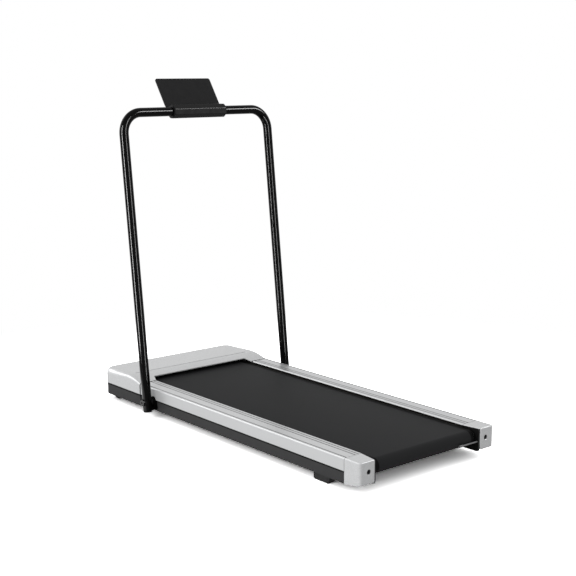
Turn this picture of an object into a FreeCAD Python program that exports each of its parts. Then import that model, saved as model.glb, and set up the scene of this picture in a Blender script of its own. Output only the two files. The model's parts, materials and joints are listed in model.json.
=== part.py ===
import FreeCAD
import Part
import math
import os

from FreeCAD import Vector

# Millimetres throughout: x runs across, y to the front and z up from the floor.

# Overall sizes
DECK_LENGTH = 1286.0  # rear face of the end caps to the front of the hood
DECK_WIDTH = 540.0  # over the outer faces of the two side rails
FLOOR_GAP = 23.5  # floor to the underside of the frame

# Clearances
GAP = 0.4  # between parts that lie side by side
TURN_FIT = 0.05  # radial, between a shaft and the hole it turns in
HOLE_FIT = 0.1  # radial, round a screw or a bolt
SEAM = 1.4  # open joint between two outer covers
HOOD_SEAM = 5.0  # open joint between a rail and the hood

# Side rails
RAIL_WIDTH = 66.0
RAIL_WALL = 4.0
RAIL_EDGE = 5.0  # rounding of the outer top edge
RAIL_INNER_EDGE = 3.0  # rounding of the inner top edge
RAIL_LIP = 1.5  # rounding of the small edges
RAIL_STEP = 8.5  # rail top above the belt
RAIL_LEG_SETBACK = 12.0  # inner edge to the leg that stands on the board
GROOVE_WIDTH = 3.0
GROOVE_DEPTH = 2.5
GROOVE_PITCH = 12.0
GROOVE_MARGIN = 9.0  # last groove from the outer face

# Frame
FRAME_HEIGHT = 41.5
FRAME_WALL = 2.0
FRAME_SETBACK = 16.5  # rail inner edge to the inner face of the frame tube
FRAME_SHOWN = 37.0  # dark frame left in sight below the rail
CROSSBAR_COUNT = 4
CROSSBAR_WIDTH = 30.0
CROSSBAR_CLEARANCE = 3.6  # above the lower run of the belt

# Deck and walking belt
CUSHION_HEIGHT = 8.0
CUSHION_RADIUS = 14.0
BOARD_THICKNESS = 13.7
BOARD_SIDE_GAP = 11.0  # board edge to the inside of the rail
BOARD_END_GAP = 4.0  # board to the belt where it bends round a roller
BOARD_EDGE = 5.0  # rounding of the board ends
DECK_SCREW_COUNT = 5  # down each side
BELT_THICKNESS = 2.0
BELT_CLEARANCE = 0.3
BELT_SIDE_GAP = 4.0  # belt edge to the rail
BELT_INSET = 12.0  # belt behind the rear face of the caps

# Rollers
ROLLER_RADIUS = 20.0
ROLLER_WALL = 3.0
ROLLER_OVERHANG = 2.0  # roller end past the belt edge
ROLLER_COVER = 43.0  # front roller behind the edge of the hood opening
AXLE_RADIUS = 7.5
BEARING_WIDTH = 11.0
BEARING_INSET = 8.0
AXLE_BLOCK_LENGTH = 36.0
AXLE_BLOCK_MARGIN = 6.0  # metal round the axle

# Belt tensioner
TENSION_TRAVEL = 6.0
TENSION_BOLT_RADIUS = 4.0
TENSION_HEAD_RADIUS = 6.5
TENSION_HEAD_HEIGHT = 8.0
TENSION_SOCKET_RADIUS = 3.4
TENSION_OFFSET = 6.0  # bolt inside the middle of the cap
TENSION_RECESS = 5.0  # bolt head behind the wall of the cap
TENSION_THREAD_PAST = 6.0  # bolt end past the axle when slack

# Rear end caps and the brackets inside them
CAP_LENGTH = 60.5
CAP_WALL = 3.0
CAP_STEP = 10.0  # cap inner edge outside the rail inner edge
CAP_CORNER = 9.0
CAP_EDGE = 4.0
CAP_RISE = 9.0  # underside of a cap at its rear end above its front end
CAP_ROUND = 8.0  # lower inner corner of the rear face
CAP_HOLE_RADIUS = 7.0
CAP_HOLE_BEVEL = 0.8
BRACKET_WALL = 4.0  # bracket left ahead of the bolt
BRACKET_FLANGE = 6.0  # bracket towards the belt past the end cap
BRACKET_CORNER = 7.0
TONGUE_LENGTH = 50.0
TONGUE_MARGIN = 5.0
GUIDE_PIN_RADIUS = 2.4
GUIDE_HEAD_RADIUS = 3.6
GUIDE_HEAD_LENGTH = 16.0
GUIDE_REACH = 78.0
GUIDE_ANGLE = 20.0  # guide pin below the rear roller, seen from the roller
GUIDE_CLEARANCE = 2.2  # belt to the head of a guide pin

# Motor hood and tray
HOOD_LENGTH = 230.0
HOOD_RISE = 14.5  # hood top above the rail top
HOOD_WALL = 3.0
HOOD_CORNER = 36.0
HOOD_FRONT_EDGE = 20.0  # rounding of the upper rim at the front, less towards the rails
HOOD_HORN = 29.0  # hood alongside the belt opening
HOOD_KNEE = 4.0  # flat end of the hood where it meets the rail
HOOD_SLOPE_RUN = 50.0
HOOD_KNEE_RADIUS = 14.0
HOOD_BROW_RADIUS = 260.0
HOOD_OPENING_TAPER = 11.0
HOOD_CREASE = 77.0  # crease line from the rear end of the hood
CREASE_WIDTH = 3.0
CREASE_DEPTH = 2.0
HOOD_BOSS_RADIUS = 5.0
HOOD_BOSS_INSET = 22.0
TRAY_WALL = 2.4

# Drive
PULLEY_GAP = 4.5  # pulley to the frame
PULLEY_RADIUS = 28.0
PULLEY_FLANGE = 1.5
SPIGOT_LENGTH = 6.0
MOTOR_PULLEY_RADIUS = 13.0
DRIVE_BELT_THICKNESS = 2.4
DRIVE_SPACING = 82.0  # front roller to motor shaft
MOTOR_RADIUS = 33.0
MOTOR_LENGTH = 160.0
MOTOR_BELL = 8.0
MOTOR_SHAFT_RADIUS = 5.0
FLYWHEEL_RADIUS = 29.0
FLYWHEEL_WIDTH = 12.0
FLYWHEEL_GAP = 8.0
MOTOR_PLATE = 3.0
MOTOR_RIB = 10.0

# Controller
BOARD_LENGTH = 120.0
BOARD_DEPTH = 70.0
BOARD_SHEET = 1.6
BOARD_STAND = 16.0
BOARD_POST_RADIUS = 4.0
SINK_LENGTH = 36.0
SINK_HEIGHT = 32.0
SINK_FIN_COUNT = 5
CAPACITOR_RADIUS = 9.0
CAPACITOR_HEIGHT = 30.0
TERMINAL_WIDTH = 12.0
TERMINAL_DEPTH = 10.0
TERMINAL_HEIGHT = 12.0
LEAD_RADIUS = 2.6
LEAD_BEND = 16.0

# Power inlet, switch and breaker on the front of the tray
INLET_SPACING = 48.0
INLET_WIDTH = 24.0
INLET_HEIGHT = 17.0
INLET_DEPTH = 26.0
INLET_FLANGE = 2.5
INLET_WALL = 2.2
SOCKET_DEPTH = 17.0
PIN_LENGTH = 9.0
PIN_WIDTH = 3.6
PIN_THICKNESS = 2.0
SWITCH_WIDTH = 15.0
SWITCH_HEIGHT = 13.0
SWITCH_DEPTH = 8.0
SWITCH_ROOM = 1.8
SWITCH_TILT = 8.0
SWITCH_PIN_RADIUS = 1.5
RESET_RADIUS = 4.0
RESET_TRAVEL = 2.0
RESET_BODY = 16.0

# Front transport wheels and rear feet
WHEEL_RADIUS = 25.0
WHEEL_WIDTH = 18.0
WHEEL_SETBACK = 43.0
WHEEL_AXLE_RADIUS = 4.0
WHEEL_SIDE_ROOM = 1.0
FORK_CHEEK = 5.0
FORK_TOP = 4.0
FORK_ROOM = 3.0
FOOT_LENGTH = 70.0
FOOT_WIDTH = 25.0
FOOT_SETBACK = 130.0
FOOT_SLOPE = 10.0
FOOT_TOE = 8.0  # rounding of the front end
FOOT_OFFSET = 9.5
SCREW_RADIUS = 2.2
SCREW_HEAD_RADIUS = 4.4
SCREW_HEAD_HEIGHT = 2.6
SCREW_REACH = 9.0

# Folding handle
LEG_OFFSET = 24.0  # middle of a leg outside the side rail
HANDLE_LENGTH = 934.0  # pivot to the middle of the crossbar
HANDLE_LEAN = 6.53
TUBE_RADIUS = 15.0
TUBE_WALL = 1.6
BEND_RADIUS = 68.0
PIVOT_SETBACK = 80.0
PIVOT_DROP = 9.0  # below the top of the frame
LEG_STUB = 28.0  # tube below the pivot
PLUG_HEIGHT = 5.0
PLUG_SPIGOT = 10.0
PIVOT_BOLT_RADIUS = 5.0
PIVOT_HEAD_RADIUS = 11.0
PIVOT_HEAD_HEIGHT = 4.0
PIVOT_SOCKET_RADIUS = 5.0
PIVOT_THREAD = 8.0
SADDLE_RADIUS = 12.0
SADDLE_SHELF = 0.6
HINGE_RADIUS = 15.0
STOP_LENGTH = 9.0
STOP_DEPTH = 8.0
STOP_DROP = 17.0

# Tablet holder on the crossbar
SLEEVE_LENGTH = 214.0
SLEEVE_FLATS = 44.0
SLEEVE_EDGE = 2.0
SLEEVE_BEVEL = 4.0
PLATE_WIDTH = 222.0
PLATE_HEIGHT = 110.0
PLATE_THICKNESS = 4.0
PLATE_CORNER = 7.0
PLATE_TILT = 34.0  # from upright, away from the user
PLATE_OFFSET = 10.0  # plate behind the middle of the crossbar
PLATE_START = 24.5
TONGUE_WIDTH = 150.0
TONGUE_DEPTH = 9.0
HOLDER_SCREW_SPACING = 140.0
HOLDER_SCREW_RADIUS = 1.6
HOLDER_HEAD_RADIUS = 2.8

# Levels that follow from the sizes above
rear_y = -DECK_LENGTH / 2
front_y = DECK_LENGTH / 2
rail_out = DECK_WIDTH / 2
rail_in = rail_out - RAIL_WIDTH
frame_out = rail_out - RAIL_WALL - GAP
frame_in = rail_in + FRAME_SETBACK
frame_mid = (frame_out + frame_in) / 2
frame_low = FLOOR_GAP
frame_top = frame_low + FRAME_HEIGHT
board_low = frame_top + CUSHION_HEIGHT
board_top = board_low + BOARD_THICKNESS
board_half = rail_out - RAIL_WALL - BOARD_SIDE_GAP
belt_half = rail_in - BELT_SIDE_GAP
belt_inner_radius = ROLLER_RADIUS + BELT_CLEARANCE
belt_outer_radius = belt_inner_radius + BELT_THICKNESS
roller_z = board_top - ROLLER_RADIUS
belt_top = roller_z + belt_outer_radius
belt_low = roller_z - belt_outer_radius
cap_floor = frame_low + CAP_RISE + CAP_WALL
rail_top = belt_top + RAIL_STEP
rail_low = frame_low + FRAME_SHOWN
cap_front = rear_y + CAP_LENGTH
cap_in = rail_in + CAP_STEP
bracket_in = cap_in - BRACKET_FLANGE
rear_roller_y = rear_y + BELT_INSET + belt_outer_radius
guide_distance = belt_outer_radius + GUIDE_CLEARANCE + GUIDE_HEAD_RADIUS
guide_y = rear_roller_y - guide_distance * math.cos(math.radians(GUIDE_ANGLE))
guide_z = roller_z - guide_distance * math.sin(math.radians(GUIDE_ANGLE))
bolt_end = rear_roller_y + TENSION_TRAVEL + AXLE_RADIUS + TENSION_THREAD_PAST
bracket_front = max(cap_front + SEAM - GAP, bolt_end + BRACKET_WALL)
frame_rear = bracket_front + GAP
roller_half = belt_half + ROLLER_OVERHANG
tension_x = (cap_in + rail_out) / 2 - TENSION_OFFSET
joint_y = front_y - HOOD_LENGTH
opening_y = joint_y + HOOD_HORN
front_roller_y = opening_y + ROLLER_COVER
hood_top = rail_top + HOOD_RISE
tray_low = frame_low - TRAY_WALL
tray_out = frame_out + GAP + TRAY_WALL
tray_inset = rail_out - tray_out
tray_front = front_y - tray_inset
panel_z = (frame_low + rail_low) / 2
drive_reach = PULLEY_RADIUS + BELT_CLEARANCE + DRIVE_BELT_THICKNESS
board_rear = max(rear_roller_y + belt_inner_radius, bracket_front) + BOARD_END_GAP
board_front = front_roller_y - max(belt_inner_radius, drive_reach) - BOARD_END_GAP
motor_y = front_roller_y + DRIVE_SPACING
pulley_start = roller_half
pulley_end = frame_in - PULLEY_GAP
motor_end = pulley_start - FLYWHEEL_GAP - FLYWHEEL_WIDTH - FLYWHEEL_GAP
motor_start = motor_end - MOTOR_LENGTH
wheel_y = front_y - WHEEL_SETBACK
fork_half = WHEEL_WIDTH / 2 + WHEEL_SIDE_ROOM + FORK_CHEEK
wheel_x = frame_in + fork_half - FORK_ROOM
fork_reach = WHEEL_RADIUS + FORK_ROOM
frame_front = wheel_y - fork_reach
pivot_y = joint_y - PIVOT_SETBACK
pivot_z = frame_top - PIVOT_DROP
handle_half = rail_out + LEG_OFFSET
saddle_in = handle_half - TUBE_RADIUS - SADDLE_SHELF
saddle_out = handle_half + TUBE_RADIUS + SADDLE_SHELF
controller_y = (front_roller_y + belt_outer_radius + tray_front - INLET_DEPTH) / 2
controller_x = (motor_start - wheel_x + fork_half) / 2
inlet_x = controller_x - INLET_SPACING / 2
board_face = frame_low + BOARD_STAND + BOARD_SHEET
board_left = controller_x - BOARD_LENGTH / 2
board_right = controller_x + BOARD_LENGTH / 2
mains_x = board_left + SINK_LENGTH + GAP + TERMINAL_WIDTH / 2
mains_y = controller_y + BOARD_DEPTH / 2

ACROSS = Vector(1, 0, 0)
FORWARD = Vector(0, 1, 0)
UP = Vector(0, 0, 1)


def box(x_range, y_range, z_range):
    """Block between the low and high values of each range."""
    size = [high - low for low, high in (x_range, y_range, z_range)]
    return Part.makeBox(*size, Vector(x_range[0], y_range[0], z_range[0]))


def rod(start, direction, radius, length):
    """Solid cylinder from a start point."""
    return Part.makeCylinder(radius, length, start, direction)


def ring(start, direction, radius, bore, length):
    """Cylinder with a hole along its axis."""
    return rod(start, direction, radius, length).cut(rod(start, direction, bore, length))


def hexagon(start, direction, radius, length):
    """Six-sided prism whose corners lie on the radius, for bolt heads and sockets."""
    turn = FreeCAD.Rotation(UP, direction)
    corners = []
    for i in range(6):
        angle = i * math.pi / 3
        corners.append(start + turn.multVec(Vector(math.cos(angle), math.sin(angle), 0) * radius))
    return Part.Face(Part.makePolygon(corners + corners[:1])).extrude(direction * length)


def spot(plane, u, v, level):
    """Point at (u, v) of a named plane, at a level along the third axis."""
    places = {"xy": Vector(u, v, level), "xz": Vector(u, level, v), "yz": Vector(level, u, v)}
    return places[plane]


def rounded_corner(before, here, after, radius):
    """Start, middle and end of the arc that rounds a corner."""
    back = (before - here).normalize()
    ahead = (after - here).normalize()
    half = back.getAngle(ahead) / 2
    reach = radius / math.tan(half)
    middle = (back + ahead).normalize() * (radius / math.sin(half) - radius)
    return here + back * reach, here + middle, here + ahead * reach


def outline(plane, level, corners):
    """Closed wire through corners given as (u, v, rounding radius)."""
    points = [spot(plane, u, v, level) for u, v, radius in corners]
    count = len(points)
    arcs = []
    for i, (u, v, radius) in enumerate(corners):
        if radius > 0:
            arcs.append(rounded_corner(points[i - 1], points[i], points[(i + 1) % count], radius))
        else:
            arcs.append((points[i], points[i], points[i]))
    edges = []
    for i, (start, middle, end) in enumerate(arcs):
        following = arcs[(i + 1) % count][0]
        if (end - start).Length > 1e-6:
            edges.append(Part.Arc(start, middle, end).toShape())
        if (following - end).Length > 1e-6:
            edges.append(Part.makeLine(end, following))
    return Part.Wire(edges)


def prism(plane, corners, low, high):
    """Outline of a plane pushed from the low level to the high one."""
    face = Part.Face(outline(plane, low, corners))
    return face.extrude(spot(plane, 0, 0, 1) * (high - low))


def rectangle(u_range, v_range, radius):
    """Corners of a rectangle, all with the same rounding."""
    return [
        (u_range[0], v_range[0], radius),
        (u_range[1], v_range[0], radius),
        (u_range[1], v_range[1], radius),
        (u_range[0], v_range[1], radius),
    ]


def loop(level, back_y, back_radius, ahead_y, ahead_radius):
    """Closed belt line round two circles whose centres are at the height of the rollers."""
    lean = math.asin((back_radius - ahead_radius) / (ahead_y - back_y))
    tangents = []
    for y, radius in ((back_y, back_radius), (ahead_y, ahead_radius)):
        along = y + radius * math.sin(lean)
        tangents.append([Vector(level, along, roller_z + s * radius * math.cos(lean)) for s in (1, -1)])
    (back_top, back_low), (ahead_top, ahead_low) = tangents
    back_end = Vector(level, back_y - back_radius, roller_z)
    ahead_end = Vector(level, ahead_y + ahead_radius, roller_z)
    edges = [
        Part.Arc(back_top, back_end, back_low).toShape(),
        Part.makeLine(back_low, ahead_low),
        Part.Arc(ahead_low, ahead_end, ahead_top).toShape(),
        Part.makeLine(ahead_top, back_top),
    ]
    return Part.Face(Part.Wire(edges))


def loop_band(low_x, high_x, ends, clearance, thickness):
    """Belt of even thickness round two circles given as (y, radius)."""
    (back_y, back_radius), (ahead_y, ahead_radius) = ends
    bands = []
    for grow in (clearance + thickness, clearance):
        face = loop(low_x, back_y, back_radius + grow, ahead_y, ahead_radius + grow)
        bands.append(face.extrude(ACROSS * (high_x - low_x)))
    return bands[0].cut(bands[1])


def joined(shapes):
    """One solid from pieces that overlap or share faces."""
    return shapes[0].multiFuse(shapes[1:]).removeSplitter()


def cut_all(shape, tools):
    """Shape less every tool."""
    for tool in tools:
        shape = shape.cut(tool)
    return shape


def mirrored(shape):
    """Same shape on the other side of the middle."""
    return shape.mirror(Vector(0, 0, 0), ACROSS)


def edges_where(shape, test):
    """Edges whose bounding box passes a test."""
    return [edge for edge in shape.Edges if test(edge.BoundBox)]


def near(a, b):
    """True for values that differ by less than a twentieth of a millimetre."""
    return abs(a - b) < 0.05


def tapered_fillet(shape, rows):
    """Rounds edges with a radius that changes along them; a row has an edge's number and its two radii."""
    document = FreeCAD.newDocument()
    base = document.addObject("Part::Feature", "base")
    base.Shape = shape
    fillet = document.addObject("Part::Fillet", "fillet")
    fillet.Base = base
    fillet.Edges = rows
    document.recompute()
    rounded = fillet.Shape.Solids[0].copy()
    FreeCAD.closeDocument(document.Name)
    return rounded


def evenly(low, high, count):
    """Values spread evenly from low to high, both included."""
    return [low + (high - low) * i / (count - 1) for i in range(count)]


def save(node, shapes):
    """Write one sub-part, made of one or more separate solids."""
    shape = shapes[0] if len(shapes) == 1 else Part.makeCompound(shapes)
    shape.exportStep("parts/" + node + ".step")


def save_pair(node, right):
    """Write a right-hand sub-part and its left-hand mirror image."""
    save("right_" + node, [right])
    save("left_" + node, [mirrored(right)])


def on_handle(shape):
    """Shape drawn with the leg upright from the pivot, moved to the leaning handle."""
    shape.rotate(Vector(0, 0, 0), ACROSS, -HANDLE_LEAN)
    shape.translate(Vector(0, pivot_y, pivot_z))
    return shape


def deck_screw_spots():
    """Places of the screws, and of the cushions round them, down the right side."""
    margin = CUSHION_RADIUS + BOARD_EDGE
    places = evenly(board_rear + margin, board_front - margin, DECK_SCREW_COUNT)
    return [Vector(frame_mid, y, board_top) for y in places]


def foot_screw_spots():
    """Places of the two screws that hold the right rear foot."""
    foot_mid = frame_out - FOOT_OFFSET - FOOT_WIDTH / 2
    middle = rear_y + FOOT_SETBACK + (FOOT_LENGTH + FOOT_SLOPE) / 2
    quarter = (FOOT_LENGTH - FOOT_SLOPE) / 4
    return [Vector(foot_mid, middle + quarter * s, frame_low) for s in (1, -1)]


def tray_screw_spots():
    """Places of the two screws between the tray and the right frame tube."""
    room = (frame_front - joint_y) / 5
    return [Vector(frame_mid, y, frame_low) for y in (joint_y + room, frame_front - room)]


def hood_screw_spots():
    """Places of the screws that come up through the tray into the right hood boss."""
    return [Vector(wheel_x - fork_half - HOOD_BOSS_INSET, front_y - HOOD_BOSS_INSET, frame_low)]


def tongue_screw_spots():
    """Places of the two screws between the right rear bracket and the frame."""
    room = TONGUE_LENGTH / 4
    middle = (frame_low + frame_top) / 2
    return [Vector(frame_in, y, middle) for y in (bracket_front + room, bracket_front + 3 * room)]


def frame_rail():
    """Rectangular tube down the right side with its screw and pivot holes."""
    y_range = (frame_rear, frame_front)
    tube = box((frame_in, frame_out), y_range, (frame_low, frame_top))
    inner_x = (frame_in + FRAME_WALL, frame_out - FRAME_WALL)
    tube = tube.cut(box(inner_x, y_range, (frame_low + FRAME_WALL, frame_top - FRAME_WALL)))
    hole = SCREW_RADIUS + HOLE_FIT
    tools = []
    for place in deck_screw_spots():
        tools.append(rod(Vector(place.x, place.y, frame_top - FRAME_WALL), UP, hole, FRAME_WALL))
    for place in foot_screw_spots() + tray_screw_spots():
        tools.append(rod(place, UP, hole, FRAME_WALL))
    for place in tongue_screw_spots():
        tools.append(rod(place, ACROSS, hole, FRAME_WALL))
    pivot_hole = Vector(frame_out - FRAME_WALL, pivot_y, pivot_z)
    tools.append(rod(pivot_hole, ACROSS, PIVOT_BOLT_RADIUS + HOLE_FIT, FRAME_WALL))
    tools.append(front_axle())
    return cut_all(tube, tools)


def crossbars():
    """Tubes between the two frame rails, in the space between the runs of the belt."""
    low = roller_z - belt_inner_radius + CROSSBAR_CLEARANCE
    bars = []
    first = bracket_front + TONGUE_LENGTH + CROSSBAR_WIDTH
    for y in evenly(first, board_front - CROSSBAR_WIDTH, CROSSBAR_COUNT):
        y_range = (y - CROSSBAR_WIDTH / 2, y + CROSSBAR_WIDTH / 2)
        inner_y = (y_range[0] + FRAME_WALL, y_range[1] - FRAME_WALL)
        bar = box((-frame_in, frame_in), y_range, (low, frame_top))
        bars.append(bar.cut(box((-frame_in, frame_in), inner_y, (low + FRAME_WALL, frame_top - FRAME_WALL))))
    return bars


def deck_board():
    """Flat board under the belt, rounded at the ends, with recessed screw holes."""
    corners = [
        (board_rear, board_low, 0),
        (board_front, board_low, 0),
        (board_front, board_top, BOARD_EDGE),
        (board_rear, board_top, BOARD_EDGE),
    ]
    board = prism("yz", corners, -board_half, board_half)
    tools = []
    for place in deck_screw_spots():
        for x in (place.x, -place.x):
            foot = Vector(x, place.y, board_low)
            head = Vector(x, place.y, board_top - SCREW_HEAD_HEIGHT - HOLE_FIT)
            tools.append(rod(foot, UP, SCREW_RADIUS + HOLE_FIT, BOARD_THICKNESS))
            tools.append(rod(head, UP, SCREW_HEAD_RADIUS + HOLE_FIT, BOARD_THICKNESS))
    return cut_all(board, tools)


def deck_cushions():
    """Rubber rings between the frame and the board, one round each deck screw."""
    rings = []
    for place in deck_screw_spots():
        start = Vector(place.x, place.y, frame_top)
        cushion = ring(start, UP, CUSHION_RADIUS, SCREW_RADIUS + GAP, CUSHION_HEIGHT)
        rings += [cushion, mirrored(cushion)]
    return rings


def screw(head_seat, direction, length):
    """Flat-headed screw: the head lies against the direction, the shank along it."""
    head = rod(head_seat - direction * SCREW_HEAD_HEIGHT, direction, SCREW_HEAD_RADIUS, SCREW_HEAD_HEIGHT)
    return head.fuse(rod(head_seat, direction, SCREW_RADIUS, length)).removeSplitter()


def deck_screws():
    """Screws through the board and the cushions into the frame."""
    screws = []
    length = BOARD_THICKNESS - SCREW_HEAD_HEIGHT + CUSHION_HEIGHT + SCREW_REACH
    for place in deck_screw_spots():
        one = screw(place - UP * SCREW_HEAD_HEIGHT, UP * -1, length)
        screws += [one, mirrored(one)]
    return screws


def side_rail():
    """Right-hand extrusion: flat grooved top, outer wall and a leg on the board."""
    leg = rail_in + RAIL_LEG_SETBACK
    under = rail_top - RAIL_WALL
    corners = [
        (rail_in, rail_top, RAIL_INNER_EDGE),
        (rail_out, rail_top, RAIL_EDGE),
        (rail_out, rail_low, RAIL_LIP / 2),
        (rail_out - RAIL_WALL, rail_low, RAIL_LIP / 2),
        (rail_out - RAIL_WALL, under, RAIL_LIP),
        (leg + RAIL_WALL, under, 0),
        (leg + RAIL_WALL, board_top, 0),
        (leg, board_top, 0),
        (leg, under, 0),
        (rail_in, under, RAIL_LIP / 2),
    ]
    start, end = frame_rear, joint_y - HOOD_SEAM
    rail = prism("xz", corners, start, end)
    groove_places = (rail_in + GROOVE_PITCH, rail_in + 2 * GROOVE_PITCH, rail_out - GROOVE_MARGIN)
    tools = []
    for x in groove_places:
        x_range = (x - GROOVE_WIDTH / 2, x + GROOVE_WIDTH / 2)
        tools.append(box(x_range, (start, end), (rail_top - GROOVE_DEPTH, rail_top)))
    notch = Vector(frame_out, pivot_y, pivot_z)
    tools.append(rod(notch, ACROSS, HINGE_RADIUS + GAP, rail_out - frame_out))
    return cut_all(rail, tools)


def rear_cap():
    """Right-hand silver end cap, hollow and open to the front and the middle."""
    corners = [
        (rail_in, cap_front, 0),
        (cap_in, rear_y, CAP_WALL),
        (rail_out, rear_y, CAP_CORNER),
        (rail_out, cap_front, 0),
    ]
    cap = prism("xy", corners, frame_low, rail_top)
    rear_low = frame_low + CAP_RISE
    wedge = [(rear_y, frame_low, 0), (cap_front, frame_low, 0), (rear_y, rear_low, 0)]
    cap = cap.cut(prism("yz", wedge, rail_in, rail_out))
    rim = edges_where(cap, lambda b: near(b.ZMin, rail_top) and not near(b.YMin, cap_front))
    cap = cap.makeFillet(CAP_EDGE, rim)
    base = edges_where(cap, lambda b: b.ZMax < rear_low + GAP and not near(b.YMin, cap_front))
    cap = cap.makeFillet(CAP_EDGE / 2, base)
    y_range = (rear_y + CAP_WALL, cap_front)
    hollow = [
        (rail_in, cap_front, 0),
        (rail_in, y_range[0], 0),
        (rail_out - CAP_WALL, y_range[0], CAP_CORNER - CAP_WALL),
        (rail_out - CAP_WALL, cap_front, 0),
    ]
    cap = cap.cut(prism("xy", hollow, cap_floor, rail_top - CAP_WALL))
    floor_in = cap_in + CAP_ROUND
    cap = cap.cut(box((rail_in, floor_in), y_range, (frame_low, cap_floor)))
    corner = box((rail_in, floor_in), (rear_y, cap_front), (frame_low, rear_low + CAP_ROUND))
    turn = Vector(floor_in, rear_y, rear_low + CAP_ROUND)
    cap = cap.cut(corner.cut(rod(turn, FORWARD, CAP_ROUND, CAP_LENGTH)))
    hole = Vector(tension_x, rear_y, roller_z)
    cap = cap.cut(rod(hole, FORWARD, CAP_HOLE_RADIUS, CAP_WALL))
    bevel_radius = CAP_HOLE_RADIUS + CAP_HOLE_BEVEL
    return cap.cut(Part.makeCone(bevel_radius, CAP_HOLE_RADIUS, CAP_HOLE_BEVEL, hole, FORWARD))


def rear_bracket(with_pin):
    """Right-hand block in the end cap: slot for the axle, bores for the tension bolt and a guide pin."""
    block_out = rail_out - CAP_WALL - GAP
    block_y = (rear_y + CAP_WALL + GAP, bracket_front)
    block_z = (frame_low + CAP_WALL + GAP, rail_top - CAP_WALL - GAP)
    plan = [
        (bracket_in, block_y[1], 0),
        (bracket_in, block_y[0], 0),
        (block_out, block_y[0], CAP_CORNER - CAP_WALL - GAP),
        (block_out, block_y[1], 0),
    ]
    side = [
        (block_y[1], block_z[0], 0),
        (block_y[0], block_z[0], BRACKET_CORNER),
        (block_y[0], block_z[1], BRACKET_CORNER),
        (block_y[1], block_z[1], 0),
    ]
    block = prism("xy", plan, *block_z).common(prism("yz", side, bracket_in, block_out))
    block = block.cut(box((cap_in, block_out), block_y, (block_z[0], cap_floor + GAP)))
    tongue_y = (bracket_front, bracket_front + TONGUE_LENGTH)
    tongue_z = (frame_low + TONGUE_MARGIN, frame_top - TONGUE_MARGIN)
    block = block.fuse(box((bracket_in, frame_in), tongue_y, tongue_z)).removeSplitter()
    slot = AXLE_RADIUS + HOLE_FIT
    slot_y = (rear_roller_y - slot - GAP, rear_roller_y + TENSION_TRAVEL + slot + GAP)
    slot_z = (roller_z - slot, roller_z + slot)
    slot_end = tension_x + AXLE_RADIUS + GAP
    tools = [prism("yz", rectangle(slot_y, slot_z, slot), bracket_in, slot_end)]
    bore = Vector(tension_x, block_y[0], roller_z)
    tools.append(rod(bore, FORWARD, TENSION_BOLT_RADIUS + HOLE_FIT, bolt_end + GAP - block_y[0]))
    tools.append(rod(bore, FORWARD, TENSION_HEAD_RADIUS + GAP, TENSION_RECESS + TENSION_HEAD_HEIGHT + GAP))
    for place in tongue_screw_spots():
        start = Vector(bracket_in, place.y, place.z)
        tools.append(rod(start, ACROSS, SCREW_RADIUS + HOLE_FIT, frame_in - bracket_in))
    if with_pin:
        pin = Vector(bracket_in, guide_y, guide_z)
        tools.append(rod(pin, ACROSS, GUIDE_PIN_RADIUS, RAIL_WALL))
    return cut_all(block, tools)


def tension_bolt():
    """Right-hand bolt with a hexagon socket that draws the rear axle back."""
    start = Vector(tension_x, rear_y + CAP_WALL + GAP + TENSION_RECESS, roller_z)
    head = rod(start, FORWARD, TENSION_HEAD_RADIUS, TENSION_HEAD_HEIGHT)
    bolt = head.fuse(rod(start, FORWARD, TENSION_BOLT_RADIUS, bolt_end - start.y)).removeSplitter()
    return bolt.cut(hexagon(start, FORWARD, TENSION_SOCKET_RADIUS, TENSION_HEAD_HEIGHT / 2))


def guide_pin():
    """Right-hand pin with a six-sided head that keeps the belt from running off."""
    start = Vector(bracket_in - GUIDE_REACH, guide_y, guide_z)
    shank = rod(start, ACROSS, GUIDE_PIN_RADIUS, GUIDE_REACH + RAIL_WALL)
    return shank.fuse(hexagon(start, ACROSS, GUIDE_HEAD_RADIUS, GUIDE_HEAD_LENGTH)).removeSplitter()


def tongue_screws():
    """Screws that hold the rear brackets to the frame."""
    screws = []
    for place in tongue_screw_spots():
        seat = Vector(bracket_in, place.y, place.z)
        one = screw(seat, ACROSS, frame_in - seat.x + SCREW_REACH)
        screws += [one, mirrored(one)]
    return screws


def walking_belt():
    """Closed belt round the two rollers."""
    ends = ((rear_roller_y, ROLLER_RADIUS), (front_roller_y, ROLLER_RADIUS))
    return loop_band(-belt_half, belt_half, ends, BELT_CLEARANCE, BELT_THICKNESS)


def roller(y):
    """Steel tube that carries the belt."""
    start = Vector(-roller_half, y, roller_z)
    return ring(start, ACROSS, ROLLER_RADIUS, ROLLER_RADIUS - ROLLER_WALL, 2 * roller_half)


def bearings(y):
    """Rings in both ends of a roller, which turn on the axle."""
    start = Vector(roller_half - BEARING_INSET - BEARING_WIDTH, y, roller_z)
    one = ring(start, ACROSS, ROLLER_RADIUS - ROLLER_WALL, AXLE_RADIUS + TURN_FIT, BEARING_WIDTH)
    return [one, mirrored(one)]


def rear_axle():
    """Axle of the rear roller, cross-drilled for the tension bolts."""
    reach = tension_x + AXLE_RADIUS
    axle = rod(Vector(-reach, rear_roller_y, roller_z), ACROSS, AXLE_RADIUS, 2 * reach)
    tools = []
    for x in (tension_x, -tension_x):
        start = Vector(x, rear_roller_y - AXLE_RADIUS, roller_z)
        tools.append(rod(start, FORWARD, TENSION_BOLT_RADIUS + TURN_FIT, 2 * AXLE_RADIUS))
    return cut_all(axle, tools)


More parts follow.
